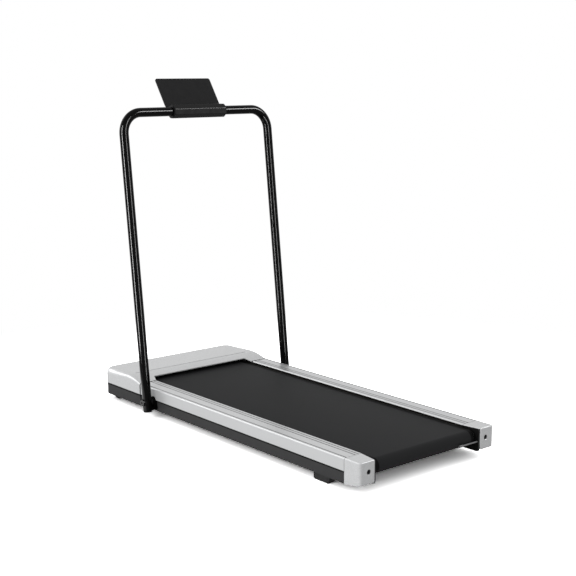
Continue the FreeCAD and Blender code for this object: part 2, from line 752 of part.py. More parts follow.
def axle_block():
    """Right-hand block on the frame that holds the front axle."""
    y_range = (front_roller_y - AXLE_BLOCK_LENGTH / 2, front_roller_y + AXLE_BLOCK_LENGTH / 2)
    top = roller_z + AXLE_RADIUS + AXLE_BLOCK_MARGIN
    corners = [
        (y_range[0], frame_top, 0),
        (y_range[1], frame_top, 0),
        (y_range[1], top, AXLE_BLOCK_MARGIN),
        (y_range[0], top, AXLE_BLOCK_MARGIN),
    ]
    block = prism("yz", corners, frame_in, frame_mid)
    return block.cut(front_axle())


def front_axle():
    """Fixed axle of the front roller, let into the frame tubes and their blocks."""
    reach = frame_mid - AXLE_BLOCK_MARGIN
    return rod(Vector(-reach, front_roller_y, roller_z), ACROSS, AXLE_RADIUS, 2 * reach)


def pulley(y, radius, bore):
    """Flanged pulley in the plane of the drive belt."""
    start = Vector(pulley_start, y, roller_z)
    width = pulley_end - pulley_start
    shape = rod(start, ACROSS, radius, width)
    for x in (pulley_start, pulley_end - PULLEY_FLANGE):
        flange = rod(Vector(x, y, roller_z), ACROSS, radius + DRIVE_BELT_THICKNESS, PULLEY_FLANGE)
        shape = shape.fuse(flange)
    return shape.removeSplitter().cut(rod(start, ACROSS, bore, width))


def roller_pulley():
    """Pulley on the right end of the front roller, with a spigot inside the roller."""
    bore = AXLE_RADIUS + GAP
    start = Vector(pulley_start - SPIGOT_LENGTH, front_roller_y, roller_z)
    spigot = ring(start, ACROSS, ROLLER_RADIUS - ROLLER_WALL, bore, SPIGOT_LENGTH)
    return pulley(front_roller_y, PULLEY_RADIUS, bore).fuse(spigot).removeSplitter()


def drive_belt():
    """Belt from the motor pulley to the roller pulley."""
    ends = ((front_roller_y, PULLEY_RADIUS), (motor_y, MOTOR_PULLEY_RADIUS))
    low = pulley_start + PULLEY_FLANGE + GAP
    high = pulley_end - PULLEY_FLANGE - GAP
    return loop_band(low, high, ends, BELT_CLEARANCE, DRIVE_BELT_THICKNESS)


def motor_can():
    """Motor body with a narrower bell at each end and a bore for its shaft."""
    bell = MOTOR_RADIUS - MOTOR_BELL / 2
    body_start = Vector(motor_start + MOTOR_BELL, motor_y, roller_z)
    body = rod(body_start, ACROSS, MOTOR_RADIUS, MOTOR_LENGTH - 2 * MOTOR_BELL)
    bells = rod(Vector(motor_start, motor_y, roller_z), ACROSS, bell, MOTOR_LENGTH)
    depth = MOTOR_LENGTH / 4
    bore = rod(Vector(motor_end - depth, motor_y, roller_z), ACROSS, MOTOR_SHAFT_RADIUS + TURN_FIT, depth)
    return body.fuse(bells).removeSplitter().cut(bore)


def motor_shaft():
    """Shaft from the motor out to its pulley."""
    start = motor_end - MOTOR_LENGTH / 4 + GAP
    return rod(Vector(start, motor_y, roller_z), ACROSS, MOTOR_SHAFT_RADIUS, pulley_end - start)


def flywheel():
    """Heavy disc on the motor shaft."""
    start = Vector(motor_end + FLYWHEEL_GAP, motor_y, roller_z)
    return ring(start, ACROSS, FLYWHEEL_RADIUS, MOTOR_SHAFT_RADIUS, FLYWHEEL_WIDTH)


def motor_bracket():
    """Plate across the frame, notched for the board posts, with two ribs under the motor."""
    y_range = (motor_y - MOTOR_RADIUS, frame_front)
    plate_top = frame_low + MOTOR_PLATE
    pieces = [box((-frame_in, frame_in), y_range, (frame_low, plate_top))]
    span = MOTOR_LENGTH / 4
    for x in (motor_start + span, motor_end - span):
        x_range = (x - MOTOR_RIB / 2, x + MOTOR_RIB / 2)
        rib_y = (motor_y - MOTOR_RADIUS, motor_y + MOTOR_RADIUS)
        pieces.append(box(x_range, rib_y, (frame_low, roller_z - MOTOR_RADIUS / 2)))
    hollow = rod(Vector(motor_start, motor_y, roller_z), ACROSS, MOTOR_RADIUS, MOTOR_LENGTH)
    return cut_all(joined(pieces), [hollow] + board_posts(GAP))


def hood_profile(inset, past):
    """Side view of the hood: level top, sloping rear and flat ends at the rails."""
    low = rail_low - past
    rear = joint_y - past
    knee = joint_y + HOOD_KNEE
    corners = [
        (rear, low, 0),
        (rear, rail_top - inset, 0),
        (knee, rail_top - inset, HOOD_KNEE_RADIUS),
        (knee + HOOD_SLOPE_RUN, hood_top - inset, HOOD_BROW_RADIUS),
        (front_y - inset, hood_top - inset, 0),
        (front_y - inset, low, 0),
    ]
    return prism("yz", corners, inset - rail_out, rail_out - inset)


def hood_plan(inset, past, low, high):
    """Top view of the hood: square at the rear, rounded at the front corners."""
    half = rail_out - inset
    radius = HOOD_CORNER - inset
    corners = [
        (-half, joint_y - past, 0),
        (half, joint_y - past, 0),
        (half, front_y - inset, radius),
        (-half, front_y - inset, radius),
    ]
    return prism("xy", corners, low, high)


def hood_body(inset, past):
    """Hood outline, drawn in by an inset, whose upper rim is rounded like the rails there and more in front."""
    body = hood_profile(inset, past).common(hood_plan(inset, past, rail_low - past, hood_top))
    level = rail_top - inset
    rear = joint_y - past
    taper = (HOOD_FRONT_EDGE - RAIL_EDGE) / (front_y - HOOD_CORNER - rear)

    def radius_at(y):
        return min(RAIL_EDGE + taper * (y - rear), HOOD_FRONT_EDGE) - inset

    rows = []
    for number, edge in enumerate(body.Edges, start=1):
        b = edge.BoundBox
        across = b.XMax - b.XMin > rail_out and b.YMax < front_y - inset - GAP
        if b.ZMin > level - GAP and not across:
            ends = [edge.valueAt(end).y for end in (edge.FirstParameter, edge.LastParameter)]
            rows.append((number, radius_at(ends[0]), radius_at(ends[1])))
    return tapered_fillet(body, rows)


def hood():
    """Motor cover with the belt opening, the crease line and two screw bosses."""
    outer = hood_body(0, 0)
    crease_y = joint_y + HOOD_CREASE
    y_range = (crease_y - CREASE_WIDTH / 2, crease_y + CREASE_WIDTH / 2)
    crease_half = rail_out - HOOD_CORNER
    band = box((-crease_half, crease_half), y_range, (hood_top - HOOD_FRONT_EDGE, hood_top))
    crease = band.cut(hood_body(CREASE_DEPTH, 0))
    opening_half = rail_in - HOOD_OPENING_TAPER
    corners = [
        (-rail_in, joint_y, 0),
        (rail_in, joint_y, 0),
        (opening_half, opening_y, HOOD_WALL),
        (-opening_half, opening_y, HOOD_WALL),
    ]
    opening = prism("xy", corners, rail_low, hood_top)
    shell = cut_all(outer, [hood_body(HOOD_WALL, GAP), crease, opening])
    bosses = []
    boss_height = hood_top - HOOD_WALL / 2 - frame_low
    for place in hood_screw_spots():
        boss = ring(place, UP, HOOD_BOSS_RADIUS, SCREW_RADIUS + HOLE_FIT, boss_height)
        bosses += [boss, mirrored(boss)]
    return joined([shell] + bosses)


def board_posts(grow):
    """Posts that hold the controller board above the tray floor, widened by a clearance."""
    posts = []
    for x in (board_left, board_right):
        for y in (controller_y - BOARD_DEPTH / 2, controller_y + BOARD_DEPTH / 2):
            inward_x = x + math.copysign(BOARD_POST_RADIUS, controller_x - x)
            inward_y = y + math.copysign(BOARD_POST_RADIUS, controller_y - y)
            foot = Vector(inward_x, inward_y, frame_low)
            posts.append(rod(foot, UP, BOARD_POST_RADIUS + grow, BOARD_STAND))
    return posts


def motor_tray():
    """Dark tray below the hood: floor, side walls and the front wall with its cut-outs."""
    tray = hood_plan(tray_inset, 0, tray_low, rail_low)
    hollow = hood_plan(tray_inset + TRAY_WALL, GAP, frame_low, rail_low)
    tray = joined([tray.cut(hollow)] + board_posts(0))
    through = (tray_front - TRAY_WALL, tray_front)
    inlet_half = INLET_WIDTH / 2 + GAP
    inlet_z = (panel_z - INLET_HEIGHT / 2 - GAP, panel_z + INLET_HEIGHT / 2 + GAP)
    switch_half = SWITCH_WIDTH / 2 + SWITCH_ROOM + INLET_WALL + GAP
    tools = [box((inlet_x - inlet_half, inlet_x + inlet_half), through, inlet_z)]
    switch_x = inlet_x + INLET_SPACING
    tools.append(box((switch_x - switch_half, switch_x + switch_half), through, inlet_z))
    reset = Vector(switch_x + INLET_SPACING, through[0], panel_z)
    tools.append(rod(reset, FORWARD, RESET_RADIUS + GAP, TRAY_WALL))
    well_y = (wheel_y - fork_reach - GAP, wheel_y + fork_reach + GAP)
    for s in (1, -1):
        edges = sorted((s * (wheel_x - fork_half - GAP), s * (wheel_x + fork_half + GAP)))
        tools.append(box(edges, well_y, (tray_low, frame_low)))
    for place in tray_screw_spots() + hood_screw_spots():
        hole = rod(place - UP * TRAY_WALL, UP, SCREW_RADIUS + HOLE_FIT, TRAY_WALL)
        tools += [hole, mirrored(hole)]
    return cut_all(tray, tools)


def underside_screws():
    """Screws that come up from below into the frame and the hood bosses."""
    screws = []
    for place in tray_screw_spots() + hood_screw_spots():
        one = screw(place - UP * TRAY_WALL, UP, TRAY_WALL + SCREW_REACH)
        screws += [one, mirrored(one)]
    for place in foot_screw_spots():
        one = screw(place - UP * FLOOR_GAP / 2, UP, FLOOR_GAP / 2 + SCREW_REACH)
        screws += [one, mirrored(one)]
    return screws


def rear_foot():
    """Right-hand rubber foot with a sloping rear end and recessed screws."""
    foot_out = frame_out - FOOT_OFFSET
    start = rear_y + FOOT_SETBACK
    end = start + FOOT_LENGTH
    corners = [
        (start, frame_low, 0),
        (start + FOOT_SLOPE, 0, RAIL_LIP),
        (end, 0, FOOT_TOE),
        (end, frame_low, 0),
    ]
    foot = prism("yz", corners, foot_out - FOOT_WIDTH, foot_out)
    tools = []
    for place in foot_screw_spots():
        floor = Vector(place.x, place.y, 0)
        tools.append(rod(floor, UP, SCREW_RADIUS + HOLE_FIT, FLOOR_GAP))
        tools.append(rod(floor, UP, SCREW_HEAD_RADIUS + GAP, FLOOR_GAP / 2))
    return cut_all(foot, tools)


def wheel():
    """Right-hand transport wheel with softened edges."""
    start = Vector(wheel_x - WHEEL_WIDTH / 2, wheel_y, WHEEL_RADIUS)
    shape = rod(start, ACROSS, WHEEL_RADIUS, WHEEL_WIDTH)
    shape = shape.makeFillet(RAIL_LIP, edges_where(shape, lambda b: near(b.XMin, b.XMax)))
    return shape.cut(rod(start, ACROSS, WHEEL_AXLE_RADIUS + TURN_FIT, WHEEL_WIDTH))


def wheel_fork():
    """Right-hand fork at the end of the frame tube, open below for the wheel."""
    top = 2 * WHEEL_RADIUS + FORK_ROOM + FORK_TOP
    low = WHEEL_RADIUS - WHEEL_AXLE_RADIUS - FORK_CHEEK
    y_range = (wheel_y - fork_reach, wheel_y + fork_reach)
    x_range = (wheel_x - fork_half, wheel_x + fork_half)
    slot_x = (x_range[0] + FORK_CHEEK, x_range[1] - FORK_CHEEK)
    fork = prism("yz", rectangle(y_range, (low, top), FORK_CHEEK), *x_range)
    fork = fork.cut(box(slot_x, y_range, (low, top - FORK_TOP)))
    return fork.cut(wheel_axle())


def wheel_axle():
    """Right-hand axle fixed in its fork."""
    start = Vector(wheel_x - fork_half, wheel_y, WHEEL_RADIUS)
    return rod(start, ACROSS, WHEEL_AXLE_RADIUS, 2 * fork_half)


def controller_board():
    """Circuit board on the posts of the tray, with a terminal block for each lead."""
    y_range = (controller_y - BOARD_DEPTH / 2, controller_y + BOARD_DEPTH / 2)
    sheet = box((board_left, board_right), y_range, (board_face - BOARD_SHEET, board_face))
    z_range = (board_face, board_face + TERMINAL_HEIGHT)
    half = TERMINAL_WIDTH / 2
    mains = box((mains_x - half, mains_x + half), (mains_y - TERMINAL_DEPTH, mains_y), z_range)
    motor = box((board_right - TERMINAL_DEPTH, board_right), (motor_y - half, motor_y + half), z_range)
    return joined([sheet, mains, motor])


def heat_sink():
    """Finned block on the outer end of the circuit board."""
    x_range = (board_left, board_left + SINK_LENGTH)
    y_range = (controller_y - BOARD_DEPTH / 2, controller_y + BOARD_DEPTH / 2)
    sink = box(x_range, y_range, (board_face, board_face + SINK_HEIGHT))
    pitch = SINK_LENGTH / (2 * SINK_FIN_COUNT - 1)
    slots = []
    for i in range(SINK_FIN_COUNT - 1):
        start = x_range[0] + pitch * (2 * i + 1)
        z_range = (board_face + SINK_HEIGHT / 4, board_face + SINK_HEIGHT)
        slots.append(box((start, start + pitch), y_range, z_range))
    return cut_all(sink, slots)


def capacitors():
    """Row of three capacitors on the circuit board."""
    room = BOARD_DEPTH / 2 - 1.5 * CAPACITOR_RADIUS
    places = evenly(controller_y - room, controller_y + room, 3)
    shapes = []
    for y in places:
        shapes.append(rod(Vector(controller_x, y, board_face), UP, CAPACITOR_RADIUS, CAPACITOR_HEIGHT))
    return shapes


def lead(points):
    """Round cable along straight runs joined by arcs."""
    edges = []
    here = points[0]
    for i in range(1, len(points) - 1):
        start, middle, end = rounded_corner(points[i - 1], points[i], points[i + 1], LEAD_BEND)
        edges.append(Part.makeLine(here, start))
        edges.append(Part.Arc(start, middle, end).toShape())
        here = end
    edges.append(Part.makeLine(here, points[-1]))
    section = Part.Wire(Part.makeCircle(LEAD_RADIUS, points[0], points[1] - points[0]))
    return Part.Wire(edges).makePipeShell([section], True, False)


def wiring():
    """Leads from the inlet to the controller and from the controller to the motor."""
    level = board_face + TERMINAL_HEIGHT / 2
    mains_end = Vector(mains_x, mains_y, board_face + LEAD_RADIUS + GAP)
    mains_length = tray_front - INLET_DEPTH - mains_y
    mains = rod(mains_end, FORWARD, LEAD_RADIUS, mains_length)
    start = Vector(board_right, motor_y, level)
    end = Vector(motor_start, motor_y, level + TERMINAL_HEIGHT)
    run = ACROSS * ((motor_start - board_right) / 3)
    return [mains, lead([start, start + run, end - run, end])]


def power_inlet():
    """Three-pin inlet: flange on the tray front, body behind it and an open socket."""
    x_range = (inlet_x - INLET_WIDTH / 2, inlet_x + INLET_WIDTH / 2)
    z_range = (panel_z - INLET_HEIGHT / 2, panel_z + INLET_HEIGHT / 2)
    flange_x = (x_range[0] - INLET_FLANGE, x_range[1] + INLET_FLANGE)
    flange_z = (z_range[0] - INLET_FLANGE, z_range[1] + INLET_FLANGE)
    face = tray_front + tray_inset - HOLE_FIT
    flange = prism("xz", rectangle(flange_x, flange_z, INLET_FLANGE), tray_front, face)
    body = box(x_range, (tray_front - INLET_DEPTH, tray_front), z_range)
    socket_x = (x_range[0] + INLET_WALL, x_range[1] - INLET_WALL)
    socket_z = (z_range[0] + INLET_WALL, z_range[1] - INLET_WALL)
    socket = prism("xz", rectangle(socket_x, socket_z, INLET_WALL), face - SOCKET_DEPTH, face)
    return flange.fuse(body).removeSplitter().cut(socket)


def inlet_pins():
    """Two power pins and the earth pin on the floor of the socket."""
    floor = tray_front + tray_inset - HOLE_FIT - SOCKET_DEPTH
    spread = INLET_WIDTH / 4
    drop = INLET_HEIGHT / 8
    pins = []
    for x, z in ((-spread, -drop), (0, drop), (spread, -drop)):
        x_range = (inlet_x + x - PIN_THICKNESS / 2, inlet_x + x + PIN_THICKNESS / 2)
        z_range = (panel_z + z - PIN_WIDTH / 2, panel_z + z + PIN_WIDTH / 2)
        pins.append(box(x_range, (floor, floor + PIN_LENGTH), z_range))
    return pins


def switch_frame():
    """Bezel and sleeve round the power switch."""
    x = inlet_x + INLET_SPACING
    half = SWITCH_WIDTH / 2 + SWITCH_ROOM
    room_x = (x - half, x + half)
    room_z = (panel_z - INLET_HEIGHT / 2 + INLET_WALL / 4, panel_z + INLET_HEIGHT / 2 - INLET_WALL / 4)
    outer_x = (room_x[0] - INLET_WALL, room_x[1] + INLET_WALL)
    outer_z = (panel_z - INLET_HEIGHT / 2, panel_z + INLET_HEIGHT / 2)
    bezel_x = (outer_x[0] - INLET_FLANGE, outer_x[1] + INLET_FLANGE)
    bezel_z = (outer_z[0] - INLET_FLANGE, outer_z[1] + INLET_FLANGE)
    face = tray_front + tray_inset - HOLE_FIT
    bezel = prism("xz", rectangle(bezel_x, bezel_z, INLET_FLANGE), tray_front, face)
    sleeve = box(outer_x, (tray_front - INLET_DEPTH / 2, tray_front), outer_z)
    back = face - SWITCH_DEPTH - 2 * SWITCH_ROOM
    shell = bezel.fuse(sleeve).removeSplitter().cut(box(room_x, (back, face), room_z))
    return shell.cut(switch_pin(SWITCH_PIN_RADIUS + TURN_FIT, INLET_WALL))


def switch_pin(radius, reach):
    """Pin across the power switch, into the walls of its frame by a reach."""
    half = SWITCH_WIDTH / 2 + SWITCH_ROOM + reach
    start = switch_pivot() - ACROSS * half
    return rod(start, ACROSS, radius, 2 * half)


def switch_pivot():
    """Point in the middle of the power switch about which it tips."""
    face = tray_front + tray_inset - HOLE_FIT - SWITCH_ROOM / 2
    return Vector(inlet_x + INLET_SPACING, face - SWITCH_DEPTH / 2, panel_z)


def power_switch():
    """Rocker that tips about a pin across it, drawn in the off position."""
    pivot = switch_pivot()
    y_range = (pivot.y - SWITCH_DEPTH / 2, pivot.y + SWITCH_DEPTH / 2)
    z_range = (pivot.z - SWITCH_HEIGHT / 2, pivot.z + SWITCH_HEIGHT / 2)
    half = SWITCH_WIDTH / 2
    rocker = prism("yz", rectangle(y_range, z_range, RAIL_LIP), pivot.x - half, pivot.x + half)
    rocker.rotate(pivot, ACROSS, SWITCH_TILT)
    return rocker.fuse(switch_pin(SWITCH_PIN_RADIUS, INLET_WALL / 2)).removeSplitter()


def breaker():
    """Overload breaker behind the tray front, with a bore for its reset button."""
    x = inlet_x + 2 * INLET_SPACING
    half = RESET_BODY / 2
    back = tray_front - TRAY_WALL - RESET_BODY
    body = box((x - half, x + half), (back, tray_front - TRAY_WALL), (panel_z - half, panel_z + half))
    depth = RESET_BODY / 2 + RESET_TRAVEL + GAP
    bore = Vector(x, tray_front - TRAY_WALL - depth, panel_z)
    return body.cut(rod(bore, FORWARD, RESET_RADIUS + GAP, depth))


def reset_button():
    """Round button that is pressed to reset the breaker."""
    x = inlet_x + 2 * INLET_SPACING
    start = Vector(x, tray_front - TRAY_WALL - RESET_BODY / 2, panel_z)
    face = tray_front + tray_inset - HOLE_FIT
    button = rod(start, FORWARD, RESET_RADIUS, face - start.y)
    return button.makeFillet(RAIL_LIP / 2, edges_where(button, lambda b: near(b.YMin, face)))


def hinge_bracket():
    """Right-hand boss on the frame that carries the handle, with a stop shaped to the leg."""
    start = Vector(frame_out, pivot_y, pivot_z)
    face = saddle_in - GAP
    boss = rod(start, ACROSS, HINGE_RADIUS, face - frame_out)
    stop_low = -STOP_DROP - STOP_LENGTH
    web = on_handle(box((frame_out, face), (-HINGE_RADIUS, 0), (stop_low, 0)))
    stop_x = (saddle_in - STOP_DEPTH, handle_half - TUBE_RADIUS / 2)
    stop_y = (-HINGE_RADIUS - STOP_DEPTH / 2, -TUBE_RADIUS / 2)
    lug = box(stop_x, stop_y, (stop_low, -STOP_DROP))
    leg = rod(Vector(handle_half, 0, stop_low), UP, TUBE_RADIUS + GAP, STOP_LENGTH)
    lug = on_handle(lug.cut(leg))
    bore = rod(start, ACROSS, PIVOT_BOLT_RADIUS + HOLE_FIT, handle_half)
    return joined([boss, web, lug]).cut(bore)


def pivot_bolt():
    """Right-hand pivot bolt with a low round head and a hexagon socket."""
    seat = saddle_out + GAP
    start = Vector(frame_out - PIVOT_THREAD, pivot_y, pivot_z)
    shank = rod(start, ACROSS, PIVOT_BOLT_RADIUS, seat - start.x)
    head = rod(Vector(seat, pivot_y, pivot_z), ACROSS, PIVOT_HEAD_RADIUS, PIVOT_HEAD_HEIGHT)
    face = seat + PIVOT_HEAD_HEIGHT
    head = head.makeFillet(PIVOT_HEAD_HEIGHT / 3, edges_where(head, lambda b: near(b.XMin, face)))
    socket = hexagon(Vector(face, pivot_y, pivot_z), ACROSS * -1, PIVOT_SOCKET_RADIUS, PIVOT_HEAD_HEIGHT / 2)
    return shank.fuse(head).removeSplitter().cut(socket)


def tube_path(radius):
    """Solid of the bent handle at one radius: two legs, two bends and the crossbar."""
    bend_z = HANDLE_LENGTH - BEND_RADIUS
    bend_x = handle_half - BEND_RADIUS
    leg = rod(Vector(handle_half, 0, -LEG_STUB), UP, radius, bend_z + LEG_STUB)
    disc = Part.Face(Part.Wire(Part.makeCircle(radius, Vector(handle_half, 0, bend_z), UP)))
    bend = disc.revolve(Vector(bend_x, 0, bend_z), FORWARD * -1, 90)
    bar = rod(Vector(-bend_x, 0, HANDLE_LENGTH), ACROSS, radius, 2 * bend_x)
    return joined([leg, bend, bar, mirrored(bend), mirrored(leg)])


def handlebar():
    """Bent tube of the handle, drilled for the pivot bolts."""
    tube = tube_path(TUBE_RADIUS).cut(tube_path(TUBE_RADIUS - TUBE_WALL))
    reach = handle_half + TUBE_RADIUS
    hole = rod(Vector(-reach, 0, 0), ACROSS, PIVOT_BOLT_RADIUS + HOLE_FIT, 2 * reach)
    return on_handle(tube.cut(hole))


def leg_plugs():
    """Rounded plugs in the lower ends of the legs."""
    foot = Vector(handle_half, 0, -LEG_STUB)
    plug = rod(foot, UP * -1, TUBE_RADIUS, PLUG_HEIGHT)
    rim = edges_where(plug, lambda b: near(b.ZMax, -LEG_STUB - PLUG_HEIGHT))
    plug = plug.makeFillet(PLUG_HEIGHT * 0.8, rim)
    plug = plug.fuse(rod(foot, UP, TUBE_RADIUS - TUBE_WALL, PLUG_SPIGOT)).removeSplitter()
    return [on_handle(plug), mirrored(plug)]


def pivot_saddles():
    """Curved washers that let the bolts bear on both sides of the round legs."""
    leg = rod(Vector(handle_half, 0, -HINGE_RADIUS), UP, TUBE_RADIUS, 2 * HINGE_RADIUS)
    bore = PIVOT_BOLT_RADIUS + HOLE_FIT
    saddles = []
    for x in (saddle_in, handle_half):
        washer = ring(Vector(x, 0, 0), ACROSS, SADDLE_RADIUS, bore, saddle_out - handle_half)
        washer = on_handle(washer.cut(leg).Solids[0])
        saddles += [washer, mirrored(washer)]
    return saddles


def at_crossbar(shape):
    """Shape drawn round the crossbar at the origin, moved to the raised handle."""
    lean = math.radians(HANDLE_LEAN)
    along = Vector(0, math.sin(lean), math.cos(lean))
    shape.translate(Vector(0, pivot_y, pivot_z) + along * HANDLE_LENGTH)
    return shape


def sleeve_blank():
    """Eight-sided sleeve with bevelled ends, bored for the crossbar."""
    radius = SLEEVE_FLATS / 2 / math.cos(math.pi / 8)
    angles = [math.pi / 8 + i * math.pi / 4 for i in range(8)]
    corners = [(radius * math.cos(a), radius * math.sin(a), SLEEVE_EDGE) for a in angles]
    half = SLEEVE_LENGTH / 2
    sleeve = prism("yz", corners, -half, half)
    for end, direction in ((half, ACROSS), (-half, ACROSS * -1)):
        start = Vector(end, 0, 0) - direction * radius
        cone = Part.makeCone(2 * radius - SLEEVE_BEVEL, radius - SLEEVE_BEVEL, radius, start, direction)
        keep = cone.fuse(rod(start, direction * -1, 2 * radius, SLEEVE_LENGTH))
        sleeve = sleeve.common(keep)
    return sleeve.cut(rod(Vector(-half, 0, 0), ACROSS, TUBE_RADIUS + TURN_FIT, SLEEVE_LENGTH))


def plate_blank():
    """Tablet plate with the tongue that enters the sleeve, tilted away from the user."""
    half = PLATE_WIDTH / 2
    tongue = TONGUE_WIDTH / 2
    y_range = (PLATE_OFFSET, PLATE_OFFSET + PLATE_THICKNESS)
    corners = rectangle((-half, half), (PLATE_START, PLATE_START + PLATE_HEIGHT), PLATE_CORNER)
    root = box((-tongue, tongue), y_range, (PLATE_START - TONGUE_DEPTH, PLATE_START + PLATE_CORNER))
    plate = joined([prism("xz", corners, *y_range), root])
    plate.rotate(Vector(0, 0, 0), ACROSS, -PLATE_TILT)
    return plate


def holder_screw_spots():
    """Heights and sides of the screws that clamp the two sleeve halves together."""
    level = -(SLEEVE_FLATS / 2 + TUBE_RADIUS) / 2
    return [Vector(s * HOLDER_SCREW_SPACING / 2, 0, level) for s in (1, -1)]


def holder_screws():
    """Screws put in from the back, below the crossbar."""
    reach = SLEEVE_FLATS / 5
    screws = []
    for place in holder_screw_spots():
        shank = rod(place - FORWARD * reach, FORWARD, HOLDER_SCREW_RADIUS, 2 * reach)
        head = rod(place + FORWARD * reach, FORWARD, HOLDER_HEAD_RADIUS, SCREW_HEAD_HEIGHT)
        screws.append(at_crossbar(shank.fuse(head).removeSplitter()))
    return screws


def holder_half(side):
    """Front (-1) or back (1) half of the sleeve."""
    size = SLEEVE_LENGTH
    y_range = (0, size) if side > 0 else (-size, 0)
    half = sleeve_blank().common(box((-size, size), y_range, (-size, size)))
    reach = SLEEVE_FLATS / 5
    tools = [plate_blank()]
    for place in holder_screw_spots():
        tools.append(rod(place - FORWARD * reach, FORWARD, HOLDER_SCREW_RADIUS, 2 * reach))
        tools.append(rod(place + FORWARD * reach, FORWARD, HOLDER_HEAD_RADIUS, size))
    return at_crossbar(cut_all(half, tools))


def build_deck():
    """Write the frame, the deck and the covers along its sides."""
    save_pair("frame_rail", frame_rail())
    save("deck_crossbars", crossbars())
    save("deck_board", [deck_board()])
    save("deck_cushions", deck_cushions())
    save("deck_screws", deck_screws())
    save_pair("side_rail", side_rail())
    save_pair("rear_cap", rear_cap())
    save("right_rear_bracket", [rear_bracket(True)])
    save("left_rear_bracket", [mirrored(rear_bracket(False))])
    save("bracket_screws", tongue_screws())
    save_pair("tension_bolt", tension_bolt())
    save("belt_guide_pin", [guide_pin()])
    save_pair("rear_foot", rear_foot())


def build_running_gear():
    """Write the belt, the rollers and the drive."""
    save("walking_belt", [walking_belt()])
    save("rear_roller", [roller(rear_roller_y)])
    save("rear_bearings", bearings(rear_roller_y))
    save("rear_axle", [rear_axle()])
    save("front_roller", [roller(front_roller_y)])
    save("front_bearings", bearings(front_roller_y))
    save("front_axle", [front_axle()])
    save("axle_blocks", [axle_block(), mirrored(axle_block())])
    save("roller_pulley", [roller_pulley()])
    save("drive_belt", [drive_belt()])
    save("motor_can", [motor_can()])
    save("motor_shaft", [motor_shaft()])
    save("motor_pulley", [pulley(motor_y, MOTOR_PULLEY_RADIUS, MOTOR_SHAFT_RADIUS)])
    save("flywheel", [flywheel()])
    save("motor_bracket", [motor_bracket()])


def build_front():
    """Write the hood, the tray and what they hold."""
    save("motor_hood", [hood()])
    save("motor_tray", [motor_tray()])
    save("underside_screws", underside_screws())
    save("controller_board", [controller_board()])
    save("heat_sink", [heat_sink()])
    save("capacitors", capacitors())
    save("wiring", wiring())
    save("power_inlet", [power_inlet()])
    save("inlet_pins", inlet_pins())
    save("switch_frame", [switch_frame()])
    save("power_switch", [power_switch()])
    save("breaker", [breaker()])
    save("reset_button", [reset_button()])
    save_pair("wheel", wheel())
    save("wheel_forks", [wheel_fork(), mirrored(wheel_fork())])
    save("wheel_axles", [wheel_axle(), mirrored(wheel_axle())])


def build_handle():
    """Write the folding handle and the tablet holder."""
    save_pair("hinge_bracket", hinge_bracket())
    save("pivot_bolts", [pivot_bolt(), mirrored(pivot_bolt())])
    save("handlebar", [handlebar()])
    save("leg_plugs", leg_plugs())
    save("pivot_saddles", pivot_saddles())
    save("holder_front", [holder_half(-1)])
    save("holder_back", [holder_half(1)])
    save("holder_plate", [at_crossbar(plate_blank())])
    save("holder_screws", holder_screws())


os.makedirs("parts", exist_ok=True)
build_deck()
build_running_gear()
build_front()
build_handle()
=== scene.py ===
"""Looks of a low walking pad with a folding handle: finishes, belt, wheels, screws and a studio stage."""

import json
from math import pi, radians, tau
from typing import NamedTuple

import bpy
import numpy as np
from bpy.props import FloatProperty, FloatVectorProperty, IntProperty, PointerProperty
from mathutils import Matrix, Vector


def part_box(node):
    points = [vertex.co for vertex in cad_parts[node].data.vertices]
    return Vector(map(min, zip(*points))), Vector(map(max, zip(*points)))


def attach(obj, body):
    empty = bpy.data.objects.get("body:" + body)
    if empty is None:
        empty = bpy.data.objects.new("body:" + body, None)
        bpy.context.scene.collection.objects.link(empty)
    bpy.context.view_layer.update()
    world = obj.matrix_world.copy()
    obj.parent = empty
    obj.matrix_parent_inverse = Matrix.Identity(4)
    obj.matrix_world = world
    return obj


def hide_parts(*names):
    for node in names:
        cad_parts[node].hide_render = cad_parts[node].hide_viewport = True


bl_info = {
    "name": "Walking Pad Looks",
    "version": (1, 0, 0),
    "blender": (4, 5, 0),
    "location": "3D View > Sidebar > Walking Pad",
    "description": "Finishes, belt, wheels, screws and studio stage of a walking pad",
    "category": "Object",
}

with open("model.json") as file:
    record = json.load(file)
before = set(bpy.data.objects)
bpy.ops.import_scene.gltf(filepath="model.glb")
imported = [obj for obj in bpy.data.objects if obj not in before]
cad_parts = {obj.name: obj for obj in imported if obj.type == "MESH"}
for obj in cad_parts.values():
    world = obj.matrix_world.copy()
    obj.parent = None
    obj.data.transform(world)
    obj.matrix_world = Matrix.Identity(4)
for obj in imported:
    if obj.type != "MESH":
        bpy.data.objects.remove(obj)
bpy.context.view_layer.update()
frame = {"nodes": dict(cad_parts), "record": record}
MILLIMETRE = 0.001
WHITE = (1.0, 1.0, 1.0, 1.0)
SIDES = ("left", "right")
SLEEVE = ("holder_front", "holder_back")
REAR_CAPS = ("left_rear_cap", "right_rear_cap")
SIDE_RAILS = ("left_side_rail", "right_side_rail")


# Settings that a user would change

def colour(name, description, default):
    """A linear colour."""
    return FloatVectorProperty(
        name=name, description=description, subtype="COLOR", size=3, min=0.0, max=1.0, default=default
    )


def length(name, description, millimetres):
    """A length, written here in millimetres and kept in metres."""
    return FloatProperty(
        name=name, description=description, unit="LENGTH", min=0.0, precision=4,
        default=millimetres * MILLIMETRE,
    )


def angle(name, description, degrees):
    """An angle, written here in degrees and kept in radians."""
    return FloatProperty(name=name, description=description, subtype="ANGLE", default=radians(degrees))


def share(name, description, default):
    """A number from none to all."""
    return FloatProperty(
        name=name, description=description, subtype="FACTOR", min=0.0, max=1.0, default=default
    )


